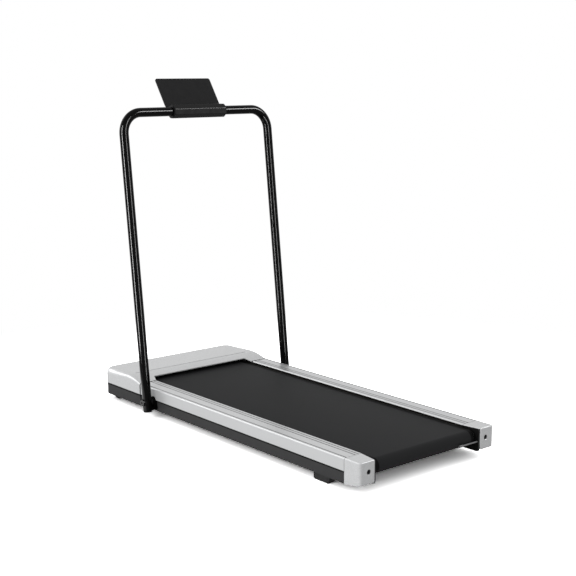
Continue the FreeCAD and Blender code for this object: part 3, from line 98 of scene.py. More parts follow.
class PadColours(bpy.types.PropertyGroup):
    """Colours of the finishes."""

    silver: colour("Silver", "Side rails, end caps, motor hood and pulleys", (0.505, 0.51, 0.515))
    dark_paint: colour("Dark Paint", "Frame, motor tray and rear brackets", (0.045, 0.045, 0.046))
    black_plastic: colour("Black Plastic", "Holder plate, hubs and small fittings", (0.008, 0.008, 0.0085))
    lacquer: colour("Lacquer", "Handle tube, hinge brackets and pivot bolts", (0.0018, 0.0018, 0.0019))
    sleeve: colour("Sleeve", "Sleeve of the tablet holder", (0.003, 0.003, 0.0032))
    belt: colour("Belt", "Outer face of the walking belt", (0.018, 0.0183, 0.019))
    rubber: colour("Rubber", "Feet, cushions, drive belt and leads", (0.040, 0.040, 0.040))
    tyre: colour("Tyre", "Tyres of the transport wheels", (0.010, 0.010, 0.0105))
    # Shade is painted shade: the colour drawn into the joint, the grooves, under the rails' lip, below the
    # silver, at the brackets and along the belt's edges.
    shade: colour("Shade", "Lines and edges that are drawn dark", (0.004, 0.004, 0.004))
    steel: colour("Steel", "Rollers, axles, bearings and screws", (0.58, 0.58, 0.59))
    # The tension bolts are darkened as painted shade inside the key holes.
    bolt_shade: colour("Oxide", "Blackened tension bolts", (0.02, 0.02, 0.021))
    # The guide pin is darkened as painted shade, for the shadow it sits in under the rear of the belt.
    pin_shade: colour("Zinc", "Dull plated guide pin", (0.19, 0.19, 0.195))
    iron: colour("Iron", "Flywheel and axle blocks", (0.24, 0.24, 0.25))
    board: colour("Board", "Waxed face of the deck board", (0.03, 0.028, 0.026))
    enamel: colour("Enamel", "Motor body", (0.045, 0.045, 0.05))
    laminate: colour("Laminate", "Circuit board", (0.02, 0.14, 0.06))
    film: colour("Film", "Sleeves of the capacitors", (0.025, 0.035, 0.11))
    brass: colour("Brass", "Pins of the power inlet", (0.72, 0.55, 0.25))
    button: colour("Button", "Reset button of the breaker", (0.45, 0.03, 0.025))


class PaintedShade(bpy.types.PropertyGroup):
    """Places on the rails, the frame, the tray and the brackets where the finishes draw painted shade."""

    # Painted shade in the joint between the rails and the hood spills this far onto the edges on each side.
    seam_edge: length("Seam Edge", "Rails and hood on each side of the joint between them", 0.4)
    # Width of the painted shadow under the lower edge of the silver, on the frame and the tray.
    cover_shadow: length("Cover Line", "Frame and tray below the lower edge of the silver", 6.5)
    # Width of the painted shade on the rear brackets, on each side of the rails' inner edge, where the gap
    # beside the belt is deep.
    bracket_shade: length("Bracket Edge", "Rear brackets on each side of the rails' inner edge", 6.0)
    # The grooves in the rails carry painted shade along them, this wide and this dark.
    groove_width: length("Groove Width", "Width of the dull strip along a groove in the rails", 5.0)
    groove_pitch: length("Groove Pitch", "Inner edge to the first groove, and on to the second", 12.0)
    groove_margin: length("Groove Margin", "Outer groove to the outer face", 9.0)
    groove_shade: share("Groove Shade", "How dark the grooves are", 0.38)
    # The thickness and the undercut bound the painted shade on the wall under the rails' top, beside the
    # belt.
    lip: length("Lip", "Thickness of the rails' top", 4.0)
    undercut: length("Undercut", "Inner edge of the rails to the wall below it", 12.0)


class BeltSizes(bpy.types.PropertyGroup):
    """Walking belt."""

    thickness: length("Thickness", "Thickness of the belt", 2.0)
    weave: length("Weave", "Pitch of the fine pattern pressed into the belt", 2.4)
    relief: length("Relief", "Depth of that pattern", 0.05)
    # Painted shade along each edge of the belt, beside the rails, is this wide.
    shaded_edge: length("Dark Edge", "Width of the sealed edge on each side", 14.0)


class WheelSizes(bpy.types.PropertyGroup):
    """Transport wheels."""

    hub_radius: length("Hub Radius", "Radius where the tyre sits on the hub", 16.0)
    shoulder: length("Shoulder", "Rounding of the tyre's edges", 3.0)
    groove_depth: length("Groove Depth", "Depth of the grooves in the tread", 0.9)
    groove_count: IntProperty(name="Grooves", description="Grooves round the tread", default=3, min=0)
    dish: length("Dish", "Depth of the pockets between the spokes", 3.0)
    spoke_count: IntProperty(name="Spokes", description="Spokes of the hub", default=6, min=3)


class ScrewSizes(bpy.types.PropertyGroup):
    """Screws in the underside."""

    shank_radius: length("Shank Radius", "Radius of the shank", 2.2)
    head_height: length("Head Height", "Height of the domed head", 2.6)
    recess_reach: length("Recess Reach", "Middle of the head to the end of an arm of the cross", 2.5)
    recess_width: length("Recess Width", "Half width of an arm of the cross", 0.55)
    recess_depth: length("Recess Depth", "Depth of the cross recess", 1.5)


class StageSizes(bpy.types.PropertyGroup):
    """Floor, light and camera."""

    ambient: share("Ambient", "Level of the light from all round", 0.80)
    floor_reach: length("Floor", "Half the side of the floor", 30000.0)
    floor_level: share("Floor Level", "Grey level of the floor", 0.82)
    floor_gain: FloatProperty(
        name="Floor Gain", description="Light added to the floor where the camera sees it",
        default=2.2, min=0.0,
    )
    fade_start: length("Fade Start", "Middle of the floor to where its shadow starts to fade", 900.0)
    fade_end: length("Fade End", "Middle of the floor to where it is plain white", 1800.0)
    camera_place: FloatVectorProperty(
        name="Camera", description="Place of the camera", subtype="TRANSLATION", unit="LENGTH",
        default=(-2.3279, -2.7880, 1.1222),
    )
    camera_yaw: angle("Yaw", "Camera turned to the right of the deck's length", 40.156)
    camera_pitch: angle("Pitch", "Camera tipped below the horizon", 10.555)
    focal_length: FloatProperty(
        name="Lens", description="Focal length in millimetres", default=73.56, min=1.0
    )
    sensor_width: FloatProperty(
        name="Sensor", description="Width of the camera's sensor in millimetres", default=36.0, min=1.0
    )


class PadSettings(bpy.types.PropertyGroup):
    """All the settings of the walking pad."""

    colours: PointerProperty(type=PadColours)
    lines: PointerProperty(type=PaintedShade)
    belt: PointerProperty(type=BeltSizes)
    wheels: PointerProperty(type=WheelSizes)
    screws: PointerProperty(type=ScrewSizes)
    stage: PointerProperty(type=StageSizes)


def settings():
    """The settings kept in the scene."""
    return bpy.context.scene.walking_pad


# Objects and boxes

GRID_PER_METRE = 1e5  # vertices nearer than a hundredth of a millimetre are at one place
CREASE = radians(35.0)  # sharper edges aren't shaded smooth


def add_object(name, data):
    """A new object in the scene."""
    made = bpy.data.objects.new(name, data)
    bpy.context.scene.collection.objects.link(made)
    return made


def grid_corners(rows, columns, loop_rows):
    """Row and column numbers of the four corners of each quad between closed rows.

    Looped rows join the last row to the first.
    """
    row, column = np.meshgrid(np.arange(rows if loop_rows else rows - 1), np.arange(columns), indexing="ij")
    row, column = row.ravel()[:, None], column.ravel()[:, None]
    return row + np.array([0, 1, 1, 0]), column + np.array([0, 0, 1, 1])


def surface(name, points, loop_rows=False, uv=None):
    """A mesh object over points[row, column], with each row a closed ring.

    Rows that don't loop are the rings of a solid of revolution, and a fan closes each end at its middle.
    The faces are turned so that the volume they enclose is positive. uv has one more row and column.
    """
    rows, columns = points.shape[:2]
    row, column = grid_corners(rows, columns, loop_rows)
    faces = (row % rows) * columns + column % columns
    vertices = points.reshape(-1, 3)
    quad = vertices[faces]
    enclosed = np.einsum("ij,ij->", quad[:, 0], np.cross(quad[:, 1], quad[:, 2]))
    enclosed += np.einsum("ij,ij->", quad[:, 0], np.cross(quad[:, 2], quad[:, 3]))
    fans = np.zeros((0, 3), int)
    if not loop_rows:
        ring = np.arange(columns)
        first, last = len(vertices), len(vertices) + 1
        end = (rows - 1) * columns
        vertices = np.vstack([vertices, points[0].mean(axis=0), points[-1].mean(axis=0)])
        fans = np.vstack([
            np.stack([np.full(columns, first), ring, (ring + 1) % columns], axis=1),
            np.stack([np.full(columns, last), end + (ring + 1) % columns, end + ring], axis=1),
        ])
    if enclosed < 0:
        faces, fans = faces[:, ::-1], fans[:, ::-1]
        row, column = row[:, ::-1], column[:, ::-1]
    mesh = bpy.data.meshes.new(name)
    mesh.from_pydata(vertices.tolist(), [], faces.tolist() + fans.tolist())
    if uv is not None:
        layer = mesh.uv_layers.new(name="surface")
        layer.uv.foreach_set("vector", uv[row, column].astype(np.float32).ravel())
    mesh.shade_smooth()
    mesh.set_sharp_from_angle(angle=CREASE)
    mesh.validate()
    return add_object(name, mesh)


def finish_piece(piece, finish, slot, body, *nodes):
    """Gives a new piece its material and the body it rides on, and hides the nodes it stands for. The slot
    is not used.
    """
    piece.data.materials.append(finish)
    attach(piece, body)
    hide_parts(*nodes)


def corner_box(node):
    """Lowest and highest corner of a node, as arrays."""
    return tuple(np.array(corner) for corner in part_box(node))


def separate_boxes(node):
    """Lowest and highest corners of each separate solid in a node.

    Vertices at one place are joined, and the lowest number on a triangle spreads until nothing changes,
    so that all the vertices of one solid end with the same number.
    """
    mesh = frame["nodes"][node].data
    places = np.zeros(len(mesh.vertices) * 3, np.float32)
    mesh.vertices.foreach_get("co", places)
    places = places.reshape(-1, 3).astype(float)
    mesh.calc_loop_triangles()
    corners = np.zeros(len(mesh.loop_triangles) * 3, np.int32)
    mesh.loop_triangles.foreach_get("vertices", corners)
    joined = np.unique(np.round(places * GRID_PER_METRE), axis=0, return_inverse=True)[1].ravel()
    triangles = joined[corners.reshape(-1, 3)]
    number = np.arange(joined.max() + 1)
    while True:
        lowest = number.copy()
        for corner in triangles.T:
            np.minimum.at(lowest, corner, number[triangles].min(axis=1))
        if np.array_equal(lowest, number):
            break
        number = lowest
    group = number[joined]
    return [(places[group == one].min(axis=0), places[group == one].max(axis=0)) for one in np.unique(group)]


# Shader nodes

COLOUR_MIX = (0, 6, 7)  # inputs of a Mix node that mixes colours: the factor and the two colours
COLOUR_RESULT = 2  # output of that node
WAVE_RATE = 20.0  # radians of a wave texture for each metre, at a scale of one
LEVEL_RANGE = (0.3, 0.7)  # where most of the levels of a noise lie


def feed(tree, socket, value):
    """Joins an output to an input socket, or sets the input to a plain value."""
    if isinstance(value, bpy.types.NodeSocket):
        tree.links.new(value, socket)
    else:
        socket.default_value = value


def add_node(tree, kind, *inputs, **values):
    """A new node, whose first inputs are fed in order.

    Each value is for the property of that name or, failing that, for the input of that name.
    """
    node = tree.nodes.new(kind)
    for name, value in values.items():
        if hasattr(node, name):
            setattr(node, name, value)
        else:
            feed(tree, node.inputs[name.replace("_", " ")], value)
    for socket, value in zip(node.inputs, inputs):
        feed(tree, socket, value)
    return node


class Finish:
    """A material in the making: one Principled shader, and nodes that vary it over the surface."""

    def __init__(self, name, base, roughness, metallic=0.0, specular=0.5):
        self.material = bpy.data.materials.new(name)
        self.material.use_nodes = True
        self.tree = self.material.node_tree
        self.inputs = self.tree.nodes["Principled BSDF"].inputs
        self.base = (*base, 1.0)
        self.material.diffuse_color = self.base
        self.feed("Base Color", self.base)
        self.feed("Roughness", roughness)
        self.feed("Metallic", metallic)
        self.feed("Specular IOR Level", specular)

    def feed(self, name, value):
        """Joins an output to an input of the shader, or sets the input to one value all over."""
        feed(self.tree, self.inputs[name], value)

    def add(self, kind, *inputs, **values):
        """Adds a node to the material."""
        return add_node(self.tree, kind, *inputs, **values)

    def places(self, stretch=(1.0, 1.0, 1.0), turn=(0.0, 0.0, 0.0), on_surface=False):
        """Object coordinates, or the piece's own UV map, scaled and turned."""
        source = self.add("ShaderNodeTexCoord").outputs["UV" if on_surface else "Object"]
        return self.add("ShaderNodeMapping", source, Scale=stretch, Rotation=turn).outputs["Vector"]

    def noise(self, grain, detail=2.0, **where):
        """Soft noise whose grains are about this many metres across."""
        cloud = self.add("ShaderNodeTexNoise", self.places(**where), Scale=1.0 / grain, Detail=detail)
        return cloud.outputs["Fac"]

    def flakes(self, grain):
        """A random level for each small cell, like flakes in a paint."""
        cells = self.add("ShaderNodeTexVoronoi", self.places(), Scale=1.0 / grain)
        return self.add("ShaderNodeSeparateColor", cells.outputs["Color"]).outputs["Red"]

    def ripple(self, pitch, axis, **where):
        """Fine parallel lines across one axis."""
        lines = self.add(
            "ShaderNodeTexWave", self.places(**where), bands_direction=axis,
            Scale=tau / WAVE_RATE / pitch, Distortion=0.0,
        )
        return lines.outputs["Fac"]

    def both(self, one, other, how="MULTIPLY"):
        """Two levels, or a level and a number, put together by arithmetic."""
        return self.add("ShaderNodeMath", one, other, operation=how).outputs["Value"]

    def spread(self, level, low, high):
        """A level from the middle of its range, carried over to another range."""
        least, most = LEVEL_RANGE
        carried = self.add(
            "ShaderNodeMapRange", level, From_Min=least, From_Max=most, To_Min=low, To_Max=high
        )
        return carried.outputs["Result"]

    def band(self, axis, low, high, mirrored=False):
        """One where a coordinate, or its size on both sides, lies between two places, and none elsewhere."""
        level = self.add("ShaderNodeSeparateXYZ", self.places()).outputs[axis]
        if mirrored:
            level = self.add("ShaderNodeMath", level, operation="ABSOLUTE").outputs["Value"]
        middle, reach = (low + high) / 2, (high - low) / 2
        return self.add("ShaderNodeMath", level, middle, reach, operation="COMPARE").outputs["Value"]

    def mix(self, factor, one, other, how="MIX"):
        """Two colours mixed by a factor."""
        node = self.add("ShaderNodeMix", data_type="RGBA", blend_type=how)
        for number, value in zip(COLOUR_MIX, (factor, one, other)):
            feed(self.tree, node.inputs[number], value)
        return node.outputs[COLOUR_RESULT]

    def vary_colour(self, level, low, high):
        """Base colour times a number that runs from low to high with the level."""
        self.feed("Base Color", self.mix(1.0, self.base, self.spread(level, low, high), "MULTIPLY"))
        return self

    def shade(self, level, amount=1.0):
        """An amount of painted shade, in the colour of dark lines, over the varied colour, where the level
        is one.
        """
        varied = self.inputs["Base Color"].links[0].from_socket
        dark = (*settings().colours.shade, 1.0)
        self.feed("Base Color", self.mix(self.both(level, amount), varied, dark))
        return self

    def vary_roughness(self, level, low, high):
        """Roughness that runs from low to high with the level."""
        self.feed("Roughness", self.spread(level, low, high))
        return self

    def emboss(self, level, depth):
        """Relief of this depth in metres where the level is high."""
        bump = self.add("ShaderNodeBump", Distance=depth, Strength=1.0, Height=level)
        self.feed("Normal", bump.outputs["Normal"])
        return self


# Finishes, with grains and depths in metres

def seam():
    """Axis and ends of the painted shade in the open joint between the rails and the hood, with a hair of
    the edges.
    """
    edge = settings().lines.seam_edge
    hood_rear = corner_box("motor_hood")[0][1]
    rail_front = corner_box("left_side_rail")[1][1]
    return "Y", rail_front - edge, hood_rear + edge


def cover_shadow():
    """Axis and ends of the painted shadow just below the lower edge of the silver rails."""
    cover = corner_box("right_side_rail")[0][2]
    return "Z", cover - settings().lines.cover_shadow, cover


def bracket_shade():
    """Axis and ends of the painted shade round the rails' inner edge, where the gap beside the belt is deep,
    and that it is on both sides of the belt.
    """
    edge = settings().lines.bracket_shade
    inner = corner_box("right_side_rail")[0][0]
    return "X", inner - edge, inner + edge, True


def anodised_aluminium():
    """Satin extruded rail: faint lines along it, a sparkle, and painted shade in the joint, in the grooves
    and on the wall under the lip beside the belt.
    """
    sizes = settings().lines
    finish = Finish("anodised_aluminium", settings().colours.silver, 0.30, metallic=0.5, specular=0.15)
    lines = finish.noise(grain=0.0012, stretch=(1.0, 0.012, 1.0))
    sparkle = finish.flakes(grain=0.0022)
    finish.vary_colour(finish.both(lines, sparkle, "ADD"), low=0.95, high=1.0)
    # Painted shade in the joint with the hood.
    finish.shade(finish.band(*seam()))
    (inner, _, bottom), (outer, _, top) = corner_box("right_side_rail")
    half = sizes.groove_width / 2
    # Painted shade in the three grooves.
    for middle in (inner + sizes.groove_pitch, inner + 2 * sizes.groove_pitch, outer - sizes.groove_margin):
        groove = finish.band("X", middle - half, middle + half, mirrored=True)
        finish.shade(groove, sizes.groove_shade)
    # Painted shade on the wall under the lip, beside the belt.
    beside_belt = finish.band("X", inner, inner + sizes.undercut + sizes.lip, mirrored=True)
    under_lip = finish.band("Z", bottom, top - sizes.lip)
    finish.shade(finish.both(beside_belt, under_lip))
    finish.vary_roughness(finish.noise(grain=0.06), low=0.28, high=0.33)
    finish.emboss(lines, depth=0.00002)
    return finish.material


def silver_lacquer():
    """Moulded covers in satin silver lacquer with metal flakes, and painted shade at the edge in the seam.
    """
    finish = Finish("silver_lacquer", settings().colours.silver, 0.24, metallic=0.45, specular=0.15)
    finish.vary_colour(finish.flakes(grain=0.0022), low=0.95, high=1.03)
    # Painted shade in the joint with the rails.
    finish.shade(finish.band(*seam()))
    finish.vary_roughness(finish.noise(grain=0.05), low=0.22, high=0.27)
    finish.emboss(finish.noise(grain=0.0016), depth=0.00002)
    return finish.material


def powder_coat():
    """Dark powder coat on the frame: orange peel, a faint mottle and a painted shadow line under the rails.
    """
    finish = Finish("powder_coat", settings().colours.dark_paint, 0.5, specular=0.15)
    finish.vary_colour(finish.noise(grain=0.0015, detail=4.0), low=0.88, high=1.12)
    # Painted shadow under the silver rails.
    finish.shade(finish.band(*cover_shadow()))
    finish.vary_roughness(finish.noise(grain=0.04), low=0.45, high=0.58)
    finish.emboss(finish.noise(grain=0.0011), depth=0.00006)
    return finish.material


def dark_moulding(name, shade_band):
    """Dark moulded plastic with a spark eroded grain and a band of painted shade."""
    finish = Finish(name, settings().colours.dark_paint, 0.6, specular=0.15)
    finish.vary_colour(finish.noise(grain=0.0012, detail=4.0), low=0.9, high=1.1)
    # Painted shade over the band.
    finish.shade(finish.band(*shade_band))
    finish.vary_roughness(finish.noise(grain=0.03), low=0.55, high=0.66)
    finish.emboss(finish.flakes(grain=0.0009), depth=0.00004)
    return finish.material


def moulded_plastic():
    """Black moulded plastic with a fine leathery grain."""
    finish = Finish("moulded_plastic", settings().colours.black_plastic, 0.45, specular=0.12)
    finish.vary_colour(finish.noise(grain=0.02), low=0.9, high=1.12)
    finish.vary_roughness(finish.noise(grain=0.025), low=0.4, high=0.52)
    finish.emboss(finish.noise(grain=0.0012, detail=3.0), depth=0.00005)
    return finish.material


def black_lacquer():
    """Gloss black lacquer on the steel tube, with a slight waviness."""
    finish = Finish("black_lacquer", settings().colours.lacquer, 0.1, specular=0.05)
    finish.vary_colour(finish.flakes(grain=0.0008), low=0.85, high=1.2)
    finish.vary_roughness(finish.noise(grain=0.08), low=0.09, high=0.11)
    finish.emboss(finish.noise(grain=0.04), depth=0.000004)
    return finish.material


def satin_sleeve():
    """Satin black moulding clamped on the tube."""
    finish = Finish("satin_sleeve", settings().colours.sleeve, 0.28, specular=0.1)
    finish.vary_colour(finish.noise(grain=0.02), low=0.9, high=1.12)
    finish.vary_roughness(finish.noise(grain=0.025), low=0.25, high=0.31)
    finish.emboss(finish.noise(grain=0.04), depth=0.000004)
    return finish.material


def pressed_belt():
    """Black belt with painted shade along its edges beside the rails, and a fine diamond pattern, which runs
    round the rollers with it.
    """
    sizes = settings().belt
    finish = Finish("pressed_belt", settings().colours.belt, 0.62, specular=0.05)
    slanted = [
        finish.ripple(sizes.weave, "X", turn=(0.0, 0.0, slant), on_surface=True)
        for slant in (pi / 4, -pi / 4)
    ]
    grain = finish.noise(grain=0.0011, detail=3.0, on_surface=True)
    pattern = finish.both(finish.both(*slanted), grain, "ADD")
    half = corner_box("walking_belt")[1][0]
    finish.vary_colour(pattern, low=0.93, high=1.06)
    # Painted shade along the belt's edges, beside the rails.
    finish.shade(finish.band("X", half - sizes.shaded_edge, half, mirrored=True))
    finish.vary_roughness(grain, low=0.60, high=0.65)
    finish.emboss(pattern, depth=sizes.relief)
    return finish.material


def moulded_rubber(name, base):
    """Matt black rubber with a dusty bloom."""
    finish = Finish(name, base, 0.8, specular=0.12)
    finish.vary_colour(finish.noise(grain=0.012, detail=4.0), low=0.85, high=1.25)
    finish.vary_roughness(finish.noise(grain=0.01), low=0.72, high=0.88)
    finish.emboss(finish.noise(grain=0.0008), depth=0.00004)
    return finish.material


def waxed_board():
    """Dense fibre board with a dark waxed face, worn in streaks along the belt."""
    finish = Finish("waxed_board", settings().colours.board, 0.5)
    streaks = finish.noise(grain=0.006, detail=4.0, stretch=(1.0, 0.08, 1.0))
    finish.vary_colour(streaks, low=0.8, high=1.25)
    finish.vary_roughness(finish.noise(grain=0.02, stretch=(1.0, 0.1, 1.0)), low=0.4, high=0.6)
    finish.emboss(finish.noise(grain=0.0006), depth=0.00003)
    return finish.material


def turned_steel():
    """Bright turned steel with fine marks across its length."""
    finish = Finish("turned_steel", settings().colours.steel, 0.3, metallic=1.0)
    marks = finish.noise(grain=0.0007, stretch=(0.1, 1.0, 1.0))
    finish.vary_colour(marks, low=0.9, high=1.06)
    finish.vary_roughness(finish.noise(grain=0.01), low=0.24, high=0.36)
    finish.emboss(marks, depth=0.00001)
    return finish.material


def treated_steel(name, base):
    """Steel in a darkened colour that paints in the shade where it sits, with a faint oily mottle."""
    finish = Finish(name, base, 0.42, metallic=0.6, specular=0.2)
    finish.vary_colour(finish.noise(grain=0.002, detail=4.0), low=0.8, high=1.2)
    finish.vary_roughness(finish.noise(grain=0.004), low=0.36, high=0.5)
    finish.emboss(finish.noise(grain=0.0008), depth=0.00001)
    return finish.material


def cast_iron():
    """Cast iron with a rough skin."""
    finish = Finish("cast_iron", settings().colours.iron, 0.5, metallic=0.85)
    finish.vary_colour(finish.noise(grain=0.004, detail=5.0), low=0.75, high=1.15)
    finish.vary_roughness(finish.noise(grain=0.006), low=0.42, high=0.62)
    finish.emboss(finish.noise(grain=0.0012, detail=4.0), depth=0.00008)
    return finish.material


def machined_aluminium():
    """Machined aluminium with fine tool marks."""
    finish = Finish("machined_aluminium", settings().colours.silver, 0.3, metallic=1.0)
    marks = finish.noise(grain=0.0006, stretch=(1.0, 0.2, 0.2))
    finish.vary_colour(marks, low=0.9, high=1.05)
    finish.vary_roughness(finish.noise(grain=0.01), low=0.25, high=0.36)
    finish.emboss(marks, depth=0.000012)
    return finish.material


def motor_enamel():
    """Satin black enamel on the motor."""
    finish = Finish("motor_enamel", settings().colours.enamel, 0.4)
    finish.vary_colour(finish.noise(grain=0.01, detail=3.0), low=0.88, high=1.15)
    finish.vary_roughness(finish.noise(grain=0.02), low=0.34, high=0.48)
    finish.emboss(finish.noise(grain=0.0015), depth=0.00004)
    return finish.material


def board_laminate():
    """Green circuit board with a glass weave under its lacquer."""
    finish = Finish("board_laminate", settings().colours.laminate, 0.35)
    weave = finish.both(finish.ripple(pitch=0.0012, axis="X"), finish.ripple(pitch=0.0012, axis="Y"))
    finish.vary_colour(weave, low=0.85, high=1.15)
    finish.vary_roughness(finish.noise(grain=0.008), low=0.3, high=0.42)
    finish.emboss(weave, depth=0.00002)
    return finish.material


def shrink_film():
    """Glossy shrunk film on the capacitors."""
    finish = Finish("shrink_film", settings().colours.film, 0.22)
    finish.vary_colour(finish.noise(grain=0.004), low=0.9, high=1.12)
    finish.vary_roughness(finish.noise(grain=0.006), low=0.18, high=0.3)
    finish.emboss(finish.noise(grain=0.003), depth=0.00003)
    return finish.material


def bright_brass():
    """Brass pins with fine draw marks."""
    finish = Finish("bright_brass", settings().colours.brass, 0.25, metallic=1.0)
    marks = finish.noise(grain=0.0005, stretch=(1.0, 0.1, 1.0))
    finish.vary_colour(marks, low=0.9, high=1.05)
    finish.vary_roughness(finish.noise(grain=0.004), low=0.2, high=0.32)
    finish.emboss(marks, depth=0.000008)
    return finish.material


def gloss_moulding(name, base):
    """Polished moulding for a switch or a button, with a few fine rubs."""
    finish = Finish(name, base, 0.2)
    finish.vary_colour(finish.noise(grain=0.004), low=0.93, high=1.08)
    finish.vary_roughness(finish.noise(grain=0.003, detail=4.0), low=0.15, high=0.3)
    finish.emboss(finish.noise(grain=0.002), depth=0.000008)
    return finish.material


def coat(finish, *nodes):
    """Gives the finish to some nodes."""
    for node in nodes:
        for place in frame["nodes"][node].material_slots:
            place.material = finish


def dress(slot, finish):
    """Gives the finish to every node of the record's slot."""
    nodes = [part["node"] for part in frame["record"]["subparts"] if part["material_slot"] == slot]
    if not nodes:
        raise RuntimeError(f"no node has the slot {slot}")
    coat(finish, *nodes)


# Shapes of the new pieces

BEND_ROWS = 49  # rows of the belt round a roller
EDGE_POINTS = 9  # points of the belt's section round an edge
RUN_END = 2 * MILLIMETRE  # end of a straight run to the row that keeps it flat
TREAD_POINTS = 73  # points across a tyre
TYRE_STEPS = 96  # points round a tyre
GROOVE_FROM, GROOVE_WALL = 0.8, 0.1  # height of the wave where a groove starts, and on to its floor
HUB_STEPS = 144  # points round a hub
HUB_RINGS = 25  # rings from the axle to the rim
RIM_GAP = 0.05 * MILLIMETRE
AXLE_GAP = 0.1 * MILLIMETRE
FACE_INSET = 0.6 * MILLIMETRE  # side of the hub behind the side of the tyre
POCKET_START, POCKET_SPAN = 0.28, 0.56  # shares of the way from the axle to the rim
POCKET_STEEPNESS = 2.2  # of the walls at the boss and the rim
SPOKE_LEVEL, SPOKE_STEEPNESS = 0.5, 1.6  # of the walls along the spokes
SCREW_STEPS = 48  # points round a screw
HEAD_RINGS = 20
HEAD_MIDDLE = 0.04  # share of the head's radius that the innermost ring has
DOME_SHARE = 0.35  # share of the head's height that is domed
RECESS_WALL = 0.25 * MILLIMETRE  # width of the sloping wall of the cross
SHANK_RINGS = 24
THREAD_PITCH = MILLIMETRE
THREAD_DEPTH = 0.12 * MILLIMETRE  # thread above and below the shank's radius
POINT_SHARE = 0.3  # share of the shank's radius at its end


def round_steps(count):
    """Angles of this many steps round a circle, as one row."""
    return np.linspace(0.0, tau, count, endpoint=False)[None, :]


def belt_loop(thickness):
    """Points and UV of the belt: a thin stadium section carried round two half circles and two runs.

    Along the path, the outward direction turns by a half circle at each roller and stays fixed on the runs,
    with one row just inside each end of a run to keep it flat. Across the path, the section is a straight
    upper and lower face joined by half circles as high as the belt is thick.
    """
    low, high = corner_box("walking_belt")
    half = thickness / 2
    radius = (high[2] - low[2]) / 2 - half
    rear, front = low[1] + radius + half, high[1] - radius - half
    bend = np.linspace(0.0, pi, BEND_ROWS)
    turned_by = np.concatenate([bend, [pi, pi], pi + bend, [tau, tau]])
    centre = np.concatenate([
        np.full(BEND_ROWS, front), [front - RUN_END, rear + RUN_END],
        np.full(BEND_ROWS, rear), [rear + RUN_END, front - RUN_END],
    ])
    outward = np.stack([np.zeros(turned_by.size), np.sin(turned_by), np.cos(turned_by)], axis=1)
    path = radius * outward
    path[:, 1] += centre
    path[:, 2] += (low[2] + high[2]) / 2
    edge = np.linspace(-pi / 2, pi / 2, EDGE_POINTS)
    reach = (high[0] - low[0]) / 2 - half
    across = np.concatenate([reach + half * np.cos(edge), -reach - half * np.cos(edge)])
    up = half * np.concatenate([np.sin(edge), -np.sin(edge)])
    points = path[:, None, :] + up[None, :, None] * outward[:, None, :]
    points[:, :, 0] += across[None, :]
    closed = np.vstack([path, path[:1]])
    along = np.concatenate([[0.0], np.cumsum(np.linalg.norm(np.diff(closed, axis=0), axis=1))])
    uv = np.stack(np.meshgrid(along, np.append(across, across[0]), indexing="ij"), axis=2)
    return points, uv


def turned(across, out, centre, angles):
    """Points of a section turned about an axis along X: across is along the axis, out is away from it."""
    shape = np.broadcast_shapes(np.shape(across), np.shape(out), np.shape(angles))
    points = np.empty((*shape, 3))
    points[..., 0] = centre[0] + across
    points[..., 1] = centre[1] + out * np.cos(angles)
    points[..., 2] = centre[2] + out * np.sin(angles)
    return points


def tyre_points(centre, radius, half_width, sizes):
    """A tyre: its radius falls off in a quarter circle at each shoulder and dips in evenly spaced grooves.

    The grooves are where a wave across the tread is high. The section goes across the tread from one side to
    the other and back along the hub.
    """
    across = np.linspace(-half_width, half_width, TREAD_POINTS)
    past = np.clip((np.abs(across) - half_width + sizes.shoulder) / sizes.shoulder, 0.0, 1.0)
    fall = sizes.shoulder * (1.0 - np.sqrt(1.0 - past**2))
    pitch = 2 * half_width / (sizes.groove_count + 1)
    wave = np.cos((across + half_width) * tau / pitch)
    dip = sizes.groove_depth * np.clip((wave - GROOVE_FROM) / GROOVE_WALL, 0.0, 1.0) * (past == 0.0)
    back = np.array([half_width, 0.0, -half_width])
    section_x = np.concatenate([across, back])[:, None]
    section_r = np.concatenate([radius - fall - dip, np.full(back.size, sizes.hub_radius)])[:, None]
    return turned(section_x, section_r, centre, round_steps(TYRE_STEPS))


def hub_points(centre, bore, half_width, sizes):
    """A hub: a thick ring whose side faces sink in pockets between the spokes.

    The depth of a pocket is a smooth hump from the boss to the rim, times a wave round the axle that is
    flat at nought on each spoke.
    """
    angles = round_steps(HUB_STEPS)
    rim = sizes.hub_radius - RIM_GAP
    out = np.linspace(bore, rim, HUB_RINGS)[:, None]
    share_out = (out - bore) / (rim - bore)
    through = np.clip((share_out - POCKET_START) / POCKET_SPAN, 0.0, 1.0)
    hump = np.clip(np.sin(through * pi) * POCKET_STEEPNESS, 0.0, 1.0)
    wave = np.clip(SPOKE_LEVEL - SPOKE_STEEPNESS * np.cos(angles * sizes.spoke_count), 0.0, 1.0)
    face = half_width - FACE_INSET - sizes.dish * hump * wave
    across = np.concatenate([face, -face[::-1]])
    return turned(across, np.concatenate([out, out[::-1]]), centre, angles)


